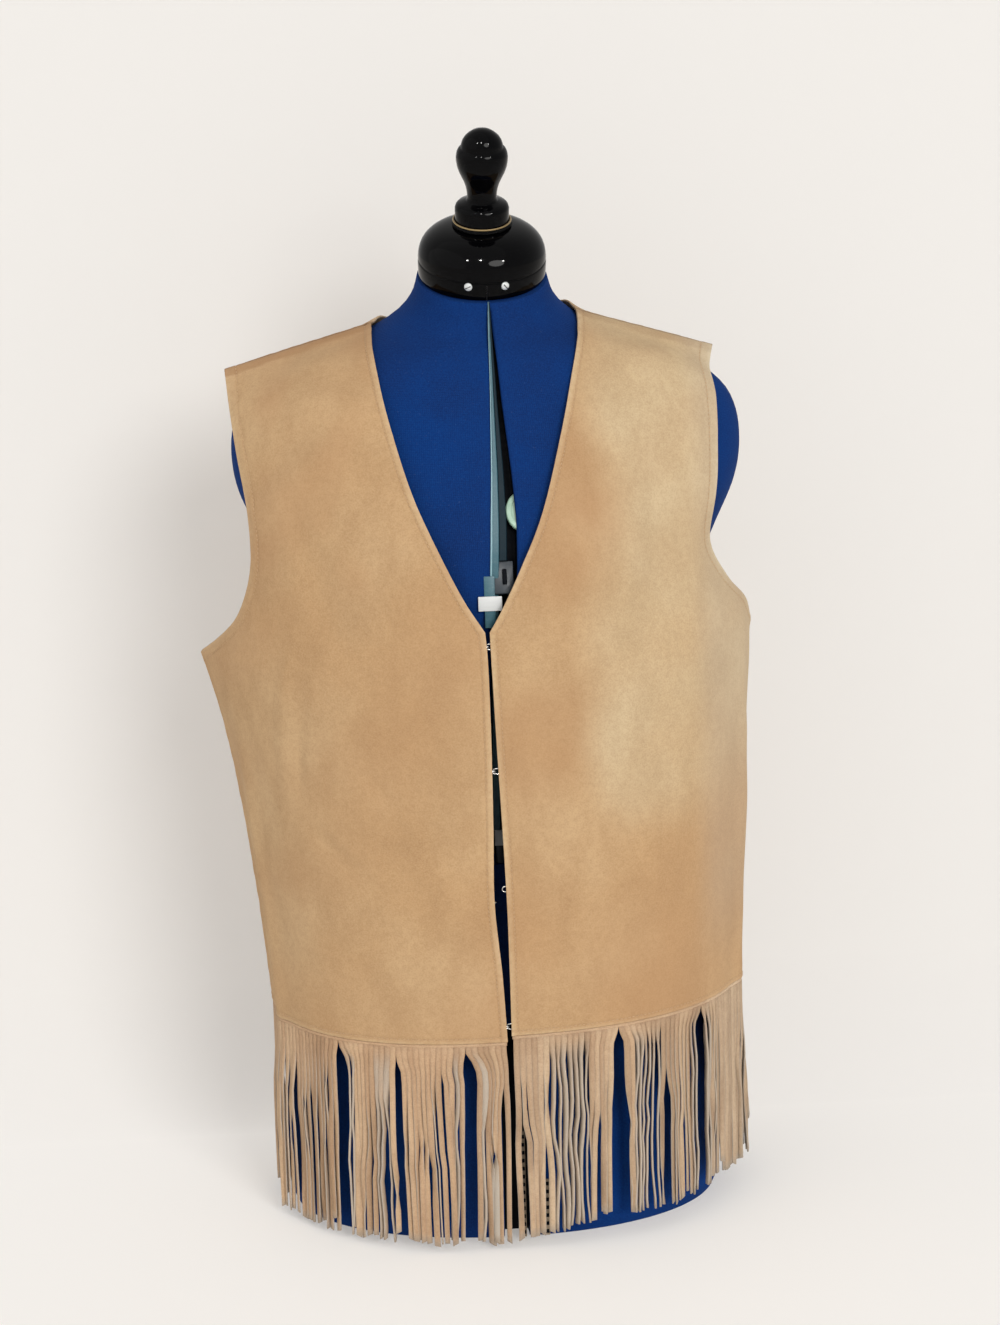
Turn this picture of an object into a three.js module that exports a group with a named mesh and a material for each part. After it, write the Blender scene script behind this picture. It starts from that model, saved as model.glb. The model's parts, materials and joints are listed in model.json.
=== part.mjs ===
// Fringed suede vest worn on a limbless dress form.
//
// Millimetres, +Z up. The origin is the middle of the object's footprint, on the flat underside of the form.
// The front faces -Y, and +X is the wearer's left. Right and left in the names are the wearer's.
//
// The form is a torso lofted through level rings, with a turned cap and finial on its neck.
// The vest is four half panels, each lofted through rows that run from its inner edge (front opening,
// neckline or centre back) to its outer edge (side seam or armhole). The two back halves are one piece.
// A strip of cut strands hangs below each panel's hem, and four hooks and eyes close the front.
import * as THREE from "three";

// ---------------------------------------------------------------- driving dimensions

const SUEDE = 2.0; // thickness of the vest's wall
const SEAM_GAP = 0.36; // space left between two pieces at a seam
const ROW_STEPS = 2; // mesh rows in a span between two rows of a table
const PANEL_COLUMNS = 13; // mesh cells across a half panel
const REST_GAP = 1.2; // least space from the wall's inner face to the form's true curve
const REST_SOFTNESS = 2.5; // how gently the suede rises from where it lies on the form
const REST_REACH = 20; // suede further out than this hangs free of the form

// Form: a row for each level ring. z is the ring's centre, half its half width, front and back its depths,
// tilt the rise of its plane from front to back, in mm per mm.
const FORM_RINGS = [
  { z: 0, half: 184, front: 119, back: 108, tilt: 0 },
  { z: 14, half: 189, front: 123, back: 113, tilt: 0 },
  { z: 90, half: 190, front: 123, back: 120, tilt: 0 },
  { z: 160, half: 186, front: 118, back: 121, tilt: 0 },
  { z: 240, half: 168, front: 107, back: 108, tilt: 0 },
  { z: 320, half: 140, front: 95, back: 90, tilt: 0 },
  { z: 390, half: 142, front: 104, back: 90, tilt: 0 },
  { z: 460, half: 153, front: 122, back: 98, tilt: 0 },
  { z: 530, half: 166, front: 137, back: 105, tilt: 0 },
  { z: 582, half: 181, front: 135, back: 109, tilt: 0 },
  { z: 625, half: 201, front: 121, back: 110, tilt: 0 },
  { z: 662, half: 208, front: 104, back: 107, tilt: 0 },
  { z: 692, half: 201, front: 90, back: 101, tilt: 0 },
  { z: 712, half: 184, front: 81, back: 94, tilt: 0 },
  { z: 727, half: 158, front: 74, back: 87, tilt: 0.02 },
  { z: 741, half: 120, front: 67, back: 79, tilt: 0.06 },
  { z: 752, half: 91, front: 61, back: 70, tilt: 0.13 },
  { z: 763, half: 71, front: 57, back: 63, tilt: 0.22 },
  { z: 776, half: 59, front: 54, back: 57, tilt: 0.32 },
  { z: 794, half: 53, front: 52, back: 53, tilt: 0.364 },
];
const FORM_COLUMNS = 36; // mesh cells round the torso
const FORM_SQUARE = 0.94; // exponent of a ring's sine and cosine: 1 is an ellipse, less is squarer

// Cap and finial: profiles of radius and height above the neck's plane.
const CAP_CLEARANCE = 0.3;
const CAP_PROFILE = [
  { r: 0, h: 0 },
  { r: 50, h: 0 },
  { r: 52, h: 2 },
  { r: 52.5, h: 14 },
  { r: 51.5, h: 15.5 },
  { r: 52.5, h: 17 },
  { r: 50.5, h: 27 },
  { r: 44, h: 36.5 },
  { r: 34, h: 42.5 },
  { r: 0, h: 45 },
];
const FINIAL_PROFILE = [
  { r: 0, h: 45.3 },
  { r: 24.5, h: 45.3 },
  { r: 24.5, h: 47.5 },
  { r: 22, h: 48.5 },
  { r: 22, h: 60 },
  { r: 19.5, h: 63 },
  { r: 12.5, h: 65 },
  { r: 12, h: 69 },
  { r: 14, h: 80 },
  { r: 19, h: 91 },
  { r: 21, h: 100 },
  { r: 20, h: 107 },
  { r: 17.5, h: 110.5 },
  { r: 13.5, h: 119 },
  { r: 7.5, h: 124 },
  { r: 0, h: 125.5 },
];
const TURNED_SIDES = 20;

// Half panels: a row for each section from hem to shoulder. inner is its end on the front opening,
// neckline or centre back, outer its end on the side seam or armhole, both [x, y, z].
// turn is the angle in degrees through which the suede turns between them.
// corner marks where a panel's inner or outer edge has a corner: the V's point, the back neck, the underarm.
// steps is the number of mesh rows from a row to the next, where it isn't ROW_STEPS.
const FRONT_RIGHT = [
  { name: "hem", inner: [-5, -143, 182], outer: [-198, 8, 178], turn: 88 },
  { name: "seat", inner: [-8, -145, 240], outer: [-203, 8, 236], turn: 86 },
  { name: "hip", inner: [-13, -147, 302], outer: [-210, 8, 302], turn: 84 },
  { name: "waist", inner: [-12.5, -149, 370], outer: [-219, 8, 370], turn: 80 },
  { name: "ribs", inner: [-12.5, -151, 440], outer: [-230, 7, 430], turn: 74 },
  { name: "underarm", inner: [-13.5, -152, 500], outer: [-245, 6, 487], turn: 68, corner: "outer" },
  { name: "V point", inner: [-15, -151, 526], outer: [-226, -26, 507], turn: 66, corner: "inner" },
  { name: "bust", inner: [-31, -149, 552], outer: [-210, -48, 530], turn: 60 },
  { name: "armhole", inner: [-49, -142, 589], outer: [-199, -62, 568], turn: 54 },
  { name: "chest", inner: [-67, -124, 631], outer: [-199, -62, 612], turn: 50 },
  { name: "upper chest", inner: [-80, -101, 675], outer: [-206, -46, 660], turn: 42 },
  { name: "collarbone", inner: [-89, -74, 716], outer: [-211, -24, 698], turn: 30, steps: 4 },
  { name: "shoulder seam", inner: [-92, 0, 758], outer: [-214, 4, 724], turn: 10 },
];
const FRONT_LEFT = [
  { name: "hem", inner: [-2, -143, 187], outer: [209, 6, 194], turn: 88 },
  { name: "seat", inner: [-2.5, -145, 240], outer: [210.5, 6, 240], turn: 88 },
  { name: "hip", inner: [-3.5, -147, 302], outer: [212, 6, 302], turn: 88 },
  { name: "waist", inner: [-6, -149, 370], outer: [215, 6, 370], turn: 88 },
  { name: "ribs", inner: [-9, -151, 440], outer: [218, 8, 434], turn: 86 },
  { name: "underarm", inner: [-11.2, -152, 500], outer: [222, 9, 499], turn: 84, corner: "outer" },
  { name: "V point", inner: [-12, -151, 526], outer: [213, -20, 521], turn: 76, corner: "inner" },
  { name: "bust", inner: [-1, -150, 545], outer: [195, -42, 543], turn: 66 },
  { name: "armhole", inner: [14, -146, 575], outer: [178, -58, 575], turn: 56 },
  { name: "chest", inner: [32, -133, 613], outer: [177, -62, 614], turn: 50 },
  { name: "upper chest", inner: [47, -112, 658], outer: [181, -50, 660], turn: 42 },
  { name: "collarbone", inner: [63, -77, 714], outer: [186, -28, 702], turn: 30, steps: 4 },
  { name: "shoulder seam", inner: [76, 0, 764], outer: [191, 4, 731], turn: 10 },
];
const BACK_RIGHT = [
  { name: "hem", inner: [4, 137, 178], outer: [-198, 8, 178], turn: 88 },
  { name: "seat", inner: [3, 135, 238], outer: [-203, 8, 236], turn: 86 },
  { name: "hip", inner: [2, 133, 302], outer: [-210, 8, 302], turn: 84 },
  { name: "waist", inner: [0, 130, 370], outer: [-219, 8, 370], turn: 80 },
  { name: "ribs", inner: [-2, 127, 435], outer: [-230, 7, 430], turn: 74 },
  { name: "underarm", inner: [-3, 125, 493], outer: [-245, 6, 487], turn: 68, corner: "outer" },
  { name: "armhole foot", inner: [-4, 124, 525], outer: [-226, 36, 496], turn: 64 },
  { name: "blade foot", inner: [-5, 123, 560], outer: [-207, 60, 512], turn: 56 },
  { name: "blade", inner: [-6, 122, 602], outer: [-198, 72, 548], turn: 48 },
  { name: "armhole", inner: [-7, 119, 648], outer: [-197, 72, 606], turn: 42 },
  { name: "upper back", inner: [-8, 108, 698], outer: [-205, 56, 664], turn: 36 },
  { name: "back neck", inner: [-9, 90, 742], outer: [-210, 34, 698], turn: 30, corner: "inner" },
  { name: "neck curve", inner: [-40, 84, 743], outer: [-211.5, 26, 707], turn: 24 },
  { name: "neck side", inner: [-70, 60, 751], outer: [-213, 17, 716], turn: 18, steps: 4 },
  { name: "shoulder seam", inner: [-92, 0, 758], outer: [-214, 4, 724], turn: 10 },
];
const BACK_LEFT = [
  { name: "hem", inner: [4, 137, 178], outer: [209, 6, 194], turn: 88 },
  { name: "seat", inner: [3, 135, 238], outer: [210.5, 6, 240], turn: 88 },
  { name: "hip", inner: [2, 133, 302], outer: [212, 6, 302], turn: 88 },
  { name: "waist", inner: [0, 130, 370], outer: [215, 6, 370], turn: 88 },
  { name: "ribs", inner: [-2, 127, 435], outer: [218, 8, 434], turn: 86 },
  { name: "underarm", inner: [-3, 125, 493], outer: [222, 9, 499], turn: 84, corner: "outer" },
  { name: "armhole foot", inner: [-4, 124, 525], outer: [213, 38, 517], turn: 72 },
  { name: "blade foot", inner: [-5, 123, 560], outer: [197, 62, 543], turn: 60 },
  { name: "blade", inner: [-6, 122, 602], outer: [186, 74, 577], turn: 50 },
  { name: "armhole", inner: [-7, 119, 648], outer: [182, 73, 622], turn: 42 },
  { name: "upper back", inner: [-8, 108, 698], outer: [184, 57, 668], turn: 36 },
  { name: "back neck", inner: [-9, 90, 742], outer: [188, 35, 704], turn: 30, corner: "inner" },
  { name: "neck curve", inner: [22, 84, 745], outer: [189, 26, 713], turn: 24 },
  { name: "neck side", inner: [54, 60, 756], outer: [190, 17, 722], turn: 18, steps: 4 },
  { name: "shoulder seam", inner: [76, 0, 764], outer: [191, 4, 731], turn: 10 },
];
const BODY_SQUARE = 0.86; // exponent of the row's arc where it turns a full quarter: less is boxier

// Folds: soft ridges (+) and troughs (-) that run up a half panel. at is the share of the way from the
// inner to the outer edge, at the fold's foot and head; from and to are heights; rise and half_width in mm.
const FOLDS = {
  frontRight: [
    { at: [0.8, 0.86], from: 150, to: 470, rise: 4.5, half_width: 13 },
    { at: [0.92, 0.96], from: 150, to: 440, rise: -4, half_width: 12 },
    { at: [0.45, 0.7], from: 500, to: 640, rise: -3, half_width: 16 },
    { at: [0.3, 0.62], from: 300, to: 380, rise: -1.6, half_width: 12 },
  ],
  frontLeft: [
    { at: [0.83, 0.8], from: 150, to: 520, rise: 5, half_width: 10 },
    { at: [0.92, 0.9], from: 150, to: 500, rise: -4.5, half_width: 10 },
    { at: [0.55, 0.78], from: 520, to: 690, rise: -3, half_width: 18 },
  ],
  backRight: [
    { at: [0.6, 0.66], from: 150, to: 470, rise: 4, half_width: 20 },
    { at: [0.84, 0.88], from: 150, to: 440, rise: -4, half_width: 16 },
  ],
  backLeft: [
    { at: [0.45, 0.52], from: 150, to: 460, rise: 4, half_width: 20 },
    { at: [0.8, 0.82], from: 150, to: 480, rise: -4.5, half_width: 15 },
  ],
};

// Fringe: cut strands of one width below a narrow strip. The strip's outer face lies just inside the wall's.
const STRIP_HEIGHT = 9;
const STRIP_INSET = 0.3;
const STRAND_WIDTH = 3.0;
const STRAND_THICKNESS = 1.3;
const STRAND_LEVELS = [0, 0.45, 1]; // shares of the strand's length that have a section
const STRAND_END_SPREAD = 3; // how unevenly the strands are cut off
const STRAND_TWIST = 38; // degrees that a strand turns by its lower end, more or less
const STRAND_LEAN = 2.5; // how far its lower end stands out or in
const TWIST_WAVE = 17; // the twist and the lean come and go along the hem: mm of hem for a radian of wave
const LEAN_WAVE = 23;
const STRIP_MARGIN = 1.2; // from the strip's ends to its first and last strand's share of the hem
// end is the height of the cut ends at the share of the hem given by at, from the inner to the outer edge.
// gaps part the strands: at is the share of the hem, open the width at the lower end.
const FRINGES = {
  frontRight: {
    strands: 57,
    end: [{ at: 0, z: 4 }, { at: 0.4, z: 5 }, { at: 1, z: 11 }],
    gaps: [{ at: 0.12, open: 10 }, { at: 0.31, open: 5 }, { at: 0.53, open: 10 }, { at: 0.66, open: 3 }],
  },
  frontLeft: {
    strands: 59,
    end: [
      { at: 0, z: 10 }, { at: 0.15, z: 13 }, { at: 0.27, z: 22 }, { at: 0.53, z: 20 }, { at: 0.8, z: 27 },
      { at: 1, z: 40 },
    ],
    gaps: [{ at: 0.07, open: 4 }, { at: 0.31, open: 8 }, { at: 0.455, open: 6 }, { at: 0.6, open: 6 }],
  },
  back: {
    strands: 116,
    end: [{ at: 0, z: 11 }, { at: 0.5, z: 10 }, { at: 1, z: 40 }],
    gaps: [
      { at: 0.08, open: 5 }, { at: 0.19, open: 8 }, { at: 0.33, open: 6 }, { at: 0.46, open: 9 },
      { at: 0.58, open: 5 }, { at: 0.71, open: 9 }, { at: 0.85, open: 6 }, { at: 0.94, open: 4 },
    ],
  },
};
const GAP_REACH = 26; // how far to each side a gap pushes the strands, in mm along the hem

// Hooks and eyes: a row for each pair. fastened pairs meet across the opening; height is the hook's,
// and drop how far below it an open eye lies.
const CLOSURES = [
  { name: "top", height: 514, drop: 0, fastened: true },
  { name: "upper", height: 412, drop: 0, fastened: true },
  { name: "lower", height: 302, drop: -11, fastened: false },
  { name: "hem", height: 194, drop: 0, fastened: true },
];
const WIRE_RADIUS = 0.55;
const SEWN_GAP = 0.6; // from the suede's inner face to the wire
const SEWN_LENGTH = 7; // how far the wire runs in from the suede's edge
const SEWN_BEND = 3; // where it leaves the suede
const HOOK = { rise: 1.6, nose: 1.2, tongue: 4, open_reach: 1.6, play: 0.5 };
const EYE = { spread: 2.6, bar: 1.6, open_reach: 1.8, play: 0.1 };
const WIRE_SIDES = 5;
const HOOK_STEPS = 9;
const EYE_STEPS = 11;

const COLOURS = { suede: 0xc9a470, cloth: 0x12387e, plastic: 0x0b0b0d, steel: 0xc8c8c4 };

// ---------------------------------------------------------------- small helpers

const lerp = (a, b, t) => a + (b - a) * t;
const clamp01 = (t) => Math.min(1, Math.max(0, t));
const ease = (t) => t * t * (3 - 2 * t);
const radians = (degrees) => (degrees * Math.PI) / 180;

/** A repeatable number from 0 to 1 for a whole number. */
function chance(seed) {
  const value = Math.sin(seed * 12.9898 + 78.233) * 43758.5453;
  return value - Math.floor(value);
}

/** Cubic through two values with the given slopes. */
function hermite(a, b, slopeA, slopeB, t) {
  const t2 = t * t;
  const t3 = t2 * t;
  const ends = (2 * t3 - 3 * t2 + 1) * a + (3 * t2 - 2 * t3) * b;
  return ends + (t3 - 2 * t2 + t) * slopeA + (t3 - t2) * slopeB;
}

/** A value read from rows with an `at` column, in a straight line between two rows. */
function readTable(rows, column, at) {
  const next = rows.findIndex((row) => row.at >= at);
  if (next <= 0) return rows[next === 0 ? 0 : rows.length - 1][column];
  const [a, b] = [rows[next - 1], rows[next]];
  return lerp(a[column], b[column], (at - a.at) / (b.at - a.at));
}

/** One mesh from its corners and triangles. */
function solid(name, points, triangles, material) {
  const geometry = new THREE.BufferGeometry();
  const places = points.flatMap((p) => [p.x, p.y, p.z]);
  geometry.setAttribute("position", new THREE.Float32BufferAttribute(places, 3));
  geometry.setIndex(triangles.flat());
  geometry.computeVertexNormals();
  const mesh = new THREE.Mesh(geometry, material);
  mesh.name = name;
  return mesh;
}

function finish(color, roughness) {
  return new THREE.MeshStandardMaterial({ color, roughness, metalness: color === COLOURS.steel ? 1 : 0 });
}

/** The point at a distance along a line of points, and the directions there. */
function along(line, distance) {
  let left = distance;
  for (let i = 1; i < line.length; i++) {
    const length = line[i].distanceTo(line[i - 1]);
    if (left <= length || i === line.length - 1) {
      const point = line[i - 1].clone().lerp(line[i], left / length);
      const run = line[i].clone().sub(line[i - 1]).setZ(0).normalize();
      return { point, run };
    }
    left -= length;
  }
  throw new Error("the line has one point");
}

const lengthOf = (line) => line.slice(1).reduce((sum, p, i) => sum + p.distanceTo(line[i]), 0);

// ---------------------------------------------------------------- dress form

/** The torso's ring at a height: half width, depths and tilt, on a smooth curve through the table's rows. */
function ringAt(z) {
  const rows = FORM_RINGS;
  const last = rows.length - 1;
  const above = rows.findIndex((row) => row.z > z);
  const i = above === -1 ? last - 1 : Math.max(0, above - 1);
  const span = rows[i + 1].z - rows[i].z;
  const t = clamp01((z - rows[i].z) / span);
  const ring = { z };
  for (const column of ["half", "front", "back", "tilt"]) {
    const slope = (k) => {
      const [before, after] = [rows[Math.max(0, k - 1)], rows[Math.min(last, k + 1)]];
      return ((after[column] - before[column]) / (after.z - before.z)) * span;
    };
    ring[column] = hermite(rows[i][column], rows[i + 1][column], slope(i), slope(i + 1), t);
  }
  return ring;
}

/** Rings of the torso, with an extra one in each long span of the table. */
function formRings() {
  const rings = [];
  FORM_RINGS.slice(1).forEach((row, i) => {
    const start = FORM_RINGS[i].z;
    rings.push(ringAt(start));
    if (row.z - start > 30) rings.push(ringAt((start + row.z) / 2));
  });
  rings.push(FORM_RINGS[FORM_RINGS.length - 1]);
  return rings;
}

/** How far out a point lies, as a share of the torso's ring there: 1 is on its surface. */
function formShare(p) {
  const ring = ringAt(p.z - p.y * ringAt(p.z).tilt);
  const power = 2 / FORM_SQUARE;
  const depth = p.y < 0 ? ring.front : ring.back;
  return (Math.abs(p.x / ring.half) ** power + Math.abs(p.y / depth) ** power) ** (1 / power);
}

/** The point, moved out from the form as far as suede that lies on it has to be. */
function restOnForm(p) {
  const least = SUEDE + REST_GAP;
  const point = p.clone();
  for (let pass = 0; pass < 3; pass++) {
    const here = formShare(point);
    const slope = new THREE.Vector3(
      formShare(point.clone().setX(point.x + 1)) - here,
      formShare(point.clone().setY(point.y + 1)) - here,
      formShare(point.clone().setZ(point.z + 1)) - here,
    );
    const distance = (here - 1) / slope.length();
    if (distance > least + REST_REACH) return point;
    const eased = (distance + least + Math.hypot(distance - least, REST_SOFTNESS)) / 2;
    const move = pass === 0 ? eased - distance : Math.max(0, least - distance);
    point.addScaledVector(slope.normalize(), move);
  }
  return point;
}

function formTorso() {
  const rings = formRings();
  const points = [];
  for (const ring of rings) {
    for (let j = 0; j < FORM_COLUMNS; j++) {
      const angle = (2 * Math.PI * j) / FORM_COLUMNS;
      const [s, c] = [Math.sin(angle), Math.cos(angle)];
      const depth = c > 0 ? ring.front : ring.back;
      const x = ring.half * Math.sign(s) * Math.abs(s) ** FORM_SQUARE;
      const y = -depth * Math.sign(c) * Math.abs(c) ** FORM_SQUARE;
      points.push(new THREE.Vector3(x, y, ring.z + y * ring.tilt));
    }
  }
  const triangles = [];
  for (let i = 0; i + 1 < rings.length; i++) {
    for (let j = 0; j < FORM_COLUMNS; j++) {
      const k = (j + 1) % FORM_COLUMNS;
      const [a, b] = [i * FORM_COLUMNS + j, i * FORM_COLUMNS + k];
      const [c, d] = [a + FORM_COLUMNS, b + FORM_COLUMNS];
      triangles.push([a, b, d], [a, d, c]);
    }
  }
  const foot = points.push(new THREE.Vector3(0, 0, 0)) - 1;
  const top = rings[rings.length - 1];
  const head = points.push(new THREE.Vector3(0, 0, top.z)) - 1;
  const last = (rings.length - 1) * FORM_COLUMNS;
  for (let j = 0; j < FORM_COLUMNS; j++) {
    const k = (j + 1) % FORM_COLUMNS;
    triangles.push([foot, k, j], [head, last + j, last + k]);
  }
  return solid("form_torso", points, triangles, finish(COLOURS.cloth, 0.85));
}

/** A turned piece that stands square on the neck's tilted plane. */
function turnedPiece(name, profile) {
  const outline = profile.map(({ r, h }) => new THREE.Vector2(r, h + CAP_CLEARANCE));
  const geometry = new THREE.LatheGeometry(outline, TURNED_SIDES);
  const mesh = new THREE.Mesh(geometry, finish(COLOURS.plastic, 0.15));
  const neck = FORM_RINGS[FORM_RINGS.length - 1];
  mesh.name = name;
  mesh.rotation.x = Math.PI / 2 + Math.atan(neck.tilt);
  mesh.position.set(0, 0, neck.z);
  return mesh;
}

// ---------------------------------------------------------------- vest panels

/** The points of one table row, evenly spaced from its inner to its outer end. */
function rowPoints(row) {
  const turn = radians(row.turn);
  const square = lerp(1, BODY_SQUARE, ease(clamp01((row.turn - 45) / 40)));
  const fine = 60;
  const [a, b] = [row.inner, row.outer];
  const line = [];
  for (let i = 0; i <= fine; i++) {
    const angle = (turn * i) / fine;
    const s = (Math.sin(angle) / Math.sin(turn)) ** square;
    const c = (1 - Math.cos(angle) ** square) / (1 - Math.cos(turn) ** square);
    line.push(new THREE.Vector3(lerp(a[0], b[0], s), lerp(a[1], b[1], c), 0));
  }
  const total = lengthOf(line);
  const points = [];
  for (let j = 0; j <= PANEL_COLUMNS; j++) {
    const share = j / PANEL_COLUMNS;
    const { point } = along(line, total * share);
    points.push(point.setZ(lerp(a[2], b[2], share)));
  }
  return points;
}

/** The outer face of a half panel: a grid of points, row by row from the hem. */
function halfPanel(rows, folds) {
  const keys = rows.map(rowPoints);
  const grid = [];
  for (let i = 0; i + 1 < keys.length; i++) {
    const steps = rows[i].steps ?? ROW_STEPS;
    for (let s = 0; s < steps; s++) {
      grid.push(keys[i].map((_, j) => between(rows, keys, i, j, s / steps)));
    }
  }
  grid.push(keys[keys.length - 1].map((p) => p.clone()));
  return raiseFolds(grid, folds);
}

/** A smooth value between rows i and i + 1, in column j. A row's corner stays a corner at its edge. */
function between(rows, keys, i, j, t) {
  const share = j / PANEL_COLUMNS;
  const slope = (k, side) => {
    const before = keys[Math.max(0, k - 1)][j];
    const after = keys[Math.min(keys.length - 1, k + 1)][j];
    const smooth = after.clone().sub(before).multiplyScalar(0.5);
    if (!rows[k].corner) return smooth;
    const own = side === "above" ? after.clone().sub(keys[k][j]) : keys[k][j].clone().sub(before);
    return smooth.lerp(own, ease(rows[k].corner === "outer" ? share : 1 - share));
  };
  const [a, b, slopeA, slopeB] = [keys[i][j], keys[i + 1][j], slope(i, "above"), slope(i + 1, "below")];
  return new THREE.Vector3(
    hermite(a.x, b.x, slopeA.x, slopeB.x, t),
    hermite(a.y, b.y, slopeA.y, slopeB.y, t),
    hermite(a.z, b.z, slopeA.z, slopeB.z, t),
  );
}

/** Moves the grid's points out or in where a fold runs, fading out at the fold's ends and at the seams. */
function raiseFolds(grid, folds) {
  return grid.map((row) =>
    row.map((p, j) => {
      const share = j / PANEL_COLUMNS;
      const rowLength = lengthOf(row);
      const before = row[Math.max(0, j - 1)];
      const after = row[Math.min(row.length - 1, j + 1)];
      const run = after.clone().sub(before).setZ(0).normalize();
      const side = row[row.length - 1].x < row[0].x ? 1 : -1;
      const out = new THREE.Vector3(-run.y * side, run.x * side, 0);
      if (row[0].y > 0) out.negate();
      let lift = 0;
      for (const fold of folds) {
        const up = clamp01((p.z - fold.from) / (fold.to - fold.from));
        const away = ((share - lerp(fold.at[0], fold.at[1], up)) * rowLength) / fold.half_width;
        const fade = ease(clamp01((fold.to - p.z) / (0.4 * (fold.to - fold.from))));
        const start = ease(clamp01((p.z - fold.from) / 30));
        lift += fold.rise * fade * start * Math.exp(-away * away);
      }
      const edge = ease(clamp01((1 - share) * 6)) * ease(clamp01(share * 6));
      return restOnForm(p.clone().addScaledVector(out, lift * edge));
    }),
  );
}

const keyOf = (p) => [p.x, p.y, p.z].map((v) => Math.round(v * 20)).join();

/** Adds each grid's face normals up in a shared table, so that two walls are mitred where they meet. */
function sharedNormals(grids) {
  const normals = new Map();
  const add = (p, n) => {
    const key = keyOf(p);
    if (!normals.has(key)) normals.set(key, new THREE.Vector3());
    normals.get(key).add(n);
  };
  for (const { grid, flip } of grids) {
    for (let i = 0; i + 1 < grid.length; i++) {
      for (let j = 0; j + 1 < grid[i].length; j++) {
        const [a, b, c, d] = [grid[i][j], grid[i][j + 1], grid[i + 1][j + 1], grid[i + 1][j]];
        const n = c.clone().sub(a).cross(d.clone().sub(b));
        if (flip) n.negate();
        n.normalize();
        [a, b, c, d].forEach((p) => add(p, n));
      }
    }
  }
  normals.forEach((n) => n.normalize());
  return normals;
}

/** Grid corners, moved back from the seams, joined to a closed wall of the suede's thickness. */
function wall(name, halves, normals, material) {
  const indexOf = new Map();
  const outer = [];
  const inner = [];
  const corner = (grid, i, j, joined) => {
    const p = grid[i][j];
    const key = keyOf(p);
    if (indexOf.has(key)) return indexOf.get(key);
    const normal = normals.get(key);
    const shift = new THREE.Vector3();
    const [row, last] = [grid[i], grid.length - 1];
    const up = grid[Math.min(last, i + 1)][j].clone().sub(grid[Math.max(0, i - 1)][j]);
    if (j === row.length - 1) shift.add(backFromSeam(row[j - 1].clone().sub(p), up, normal));
    if (j === 0 && !joined) shift.add(backFromSeam(row[1].clone().sub(p), up, normal));
    if (i === last) {
      const across = row[Math.min(row.length - 1, j + 1)].clone().sub(row[Math.max(0, j - 1)]);
      shift.add(backFromSeam(grid[i - 1][j].clone().sub(p), across, normal));
    }
    outer.push(p.clone().add(shift));
    inner.push(p.clone().add(shift).addScaledVector(normal, -SUEDE));
    indexOf.set(key, outer.length - 1);
    return outer.length - 1;
  };
  const cells = [];
  for (const { grid, flip } of halves) {
    const joined = halves.length > 1;
    for (let i = 0; i + 1 < grid.length; i++) {
      for (let j = 0; j + 1 < grid[i].length; j++) {
        const places = [[i, j], [i, j + 1], [i + 1, j + 1], [i + 1, j]];
        const cell = places.map(([r, c]) => corner(grid, r, c, joined));
        cells.push(flip ? cell.reverse() : cell);
      }
    }
  }
  return solid(name, [...outer, ...inner], wallTriangles(cells, outer.length), material);
}

/** Half a seam's gap, square to the seam and to the suede's normal, on the side of `inward`. */
function backFromSeam(inward, seam, normal) {
  const square = seam.clone().cross(normal).setLength(SEAM_GAP / 2);
  return square.dot(inward) < 0 ? square.negate() : square;
}

const toward = (from, to, distance) => to.clone().sub(from).setLength(distance);

/** Triangles of both faces of a wall and of the rims round its free edges. */
function wallTriangles(cells, count) {
  const triangles = [];
  const rims = new Map();
  for (const [a, b, c, d] of cells) {
    triangles.push([a, b, c], [a, c, d]);
    triangles.push([a + count, c + count, b + count], [a + count, d + count, c + count]);
    for (const [p, q] of [[a, b], [b, c], [c, d], [d, a]]) {
      const back = q + "," + p;
      if (rims.has(back)) rims.delete(back);
      else rims.set(p + "," + q, [p, q]);
    }
  }
  for (const [p, q] of rims.values()) {
    triangles.push([p, p + count, q + count], [p, q + count, q]);
  }
  return triangles;
}

// ---------------------------------------------------------------- fringe

/** How far a strand at a distance along the hem is pushed sideways by the gaps. */
function gapShift(distance, total, gaps) {
  let shift = 0;
  for (const gap of gaps) {
    const away = distance - gap.at * total;
    const reach = Math.exp(-((away / GAP_REACH) ** 2));
    shift += Math.sign(away) * (gap.open / 2) * reach;
  }
  return shift;
}

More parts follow.
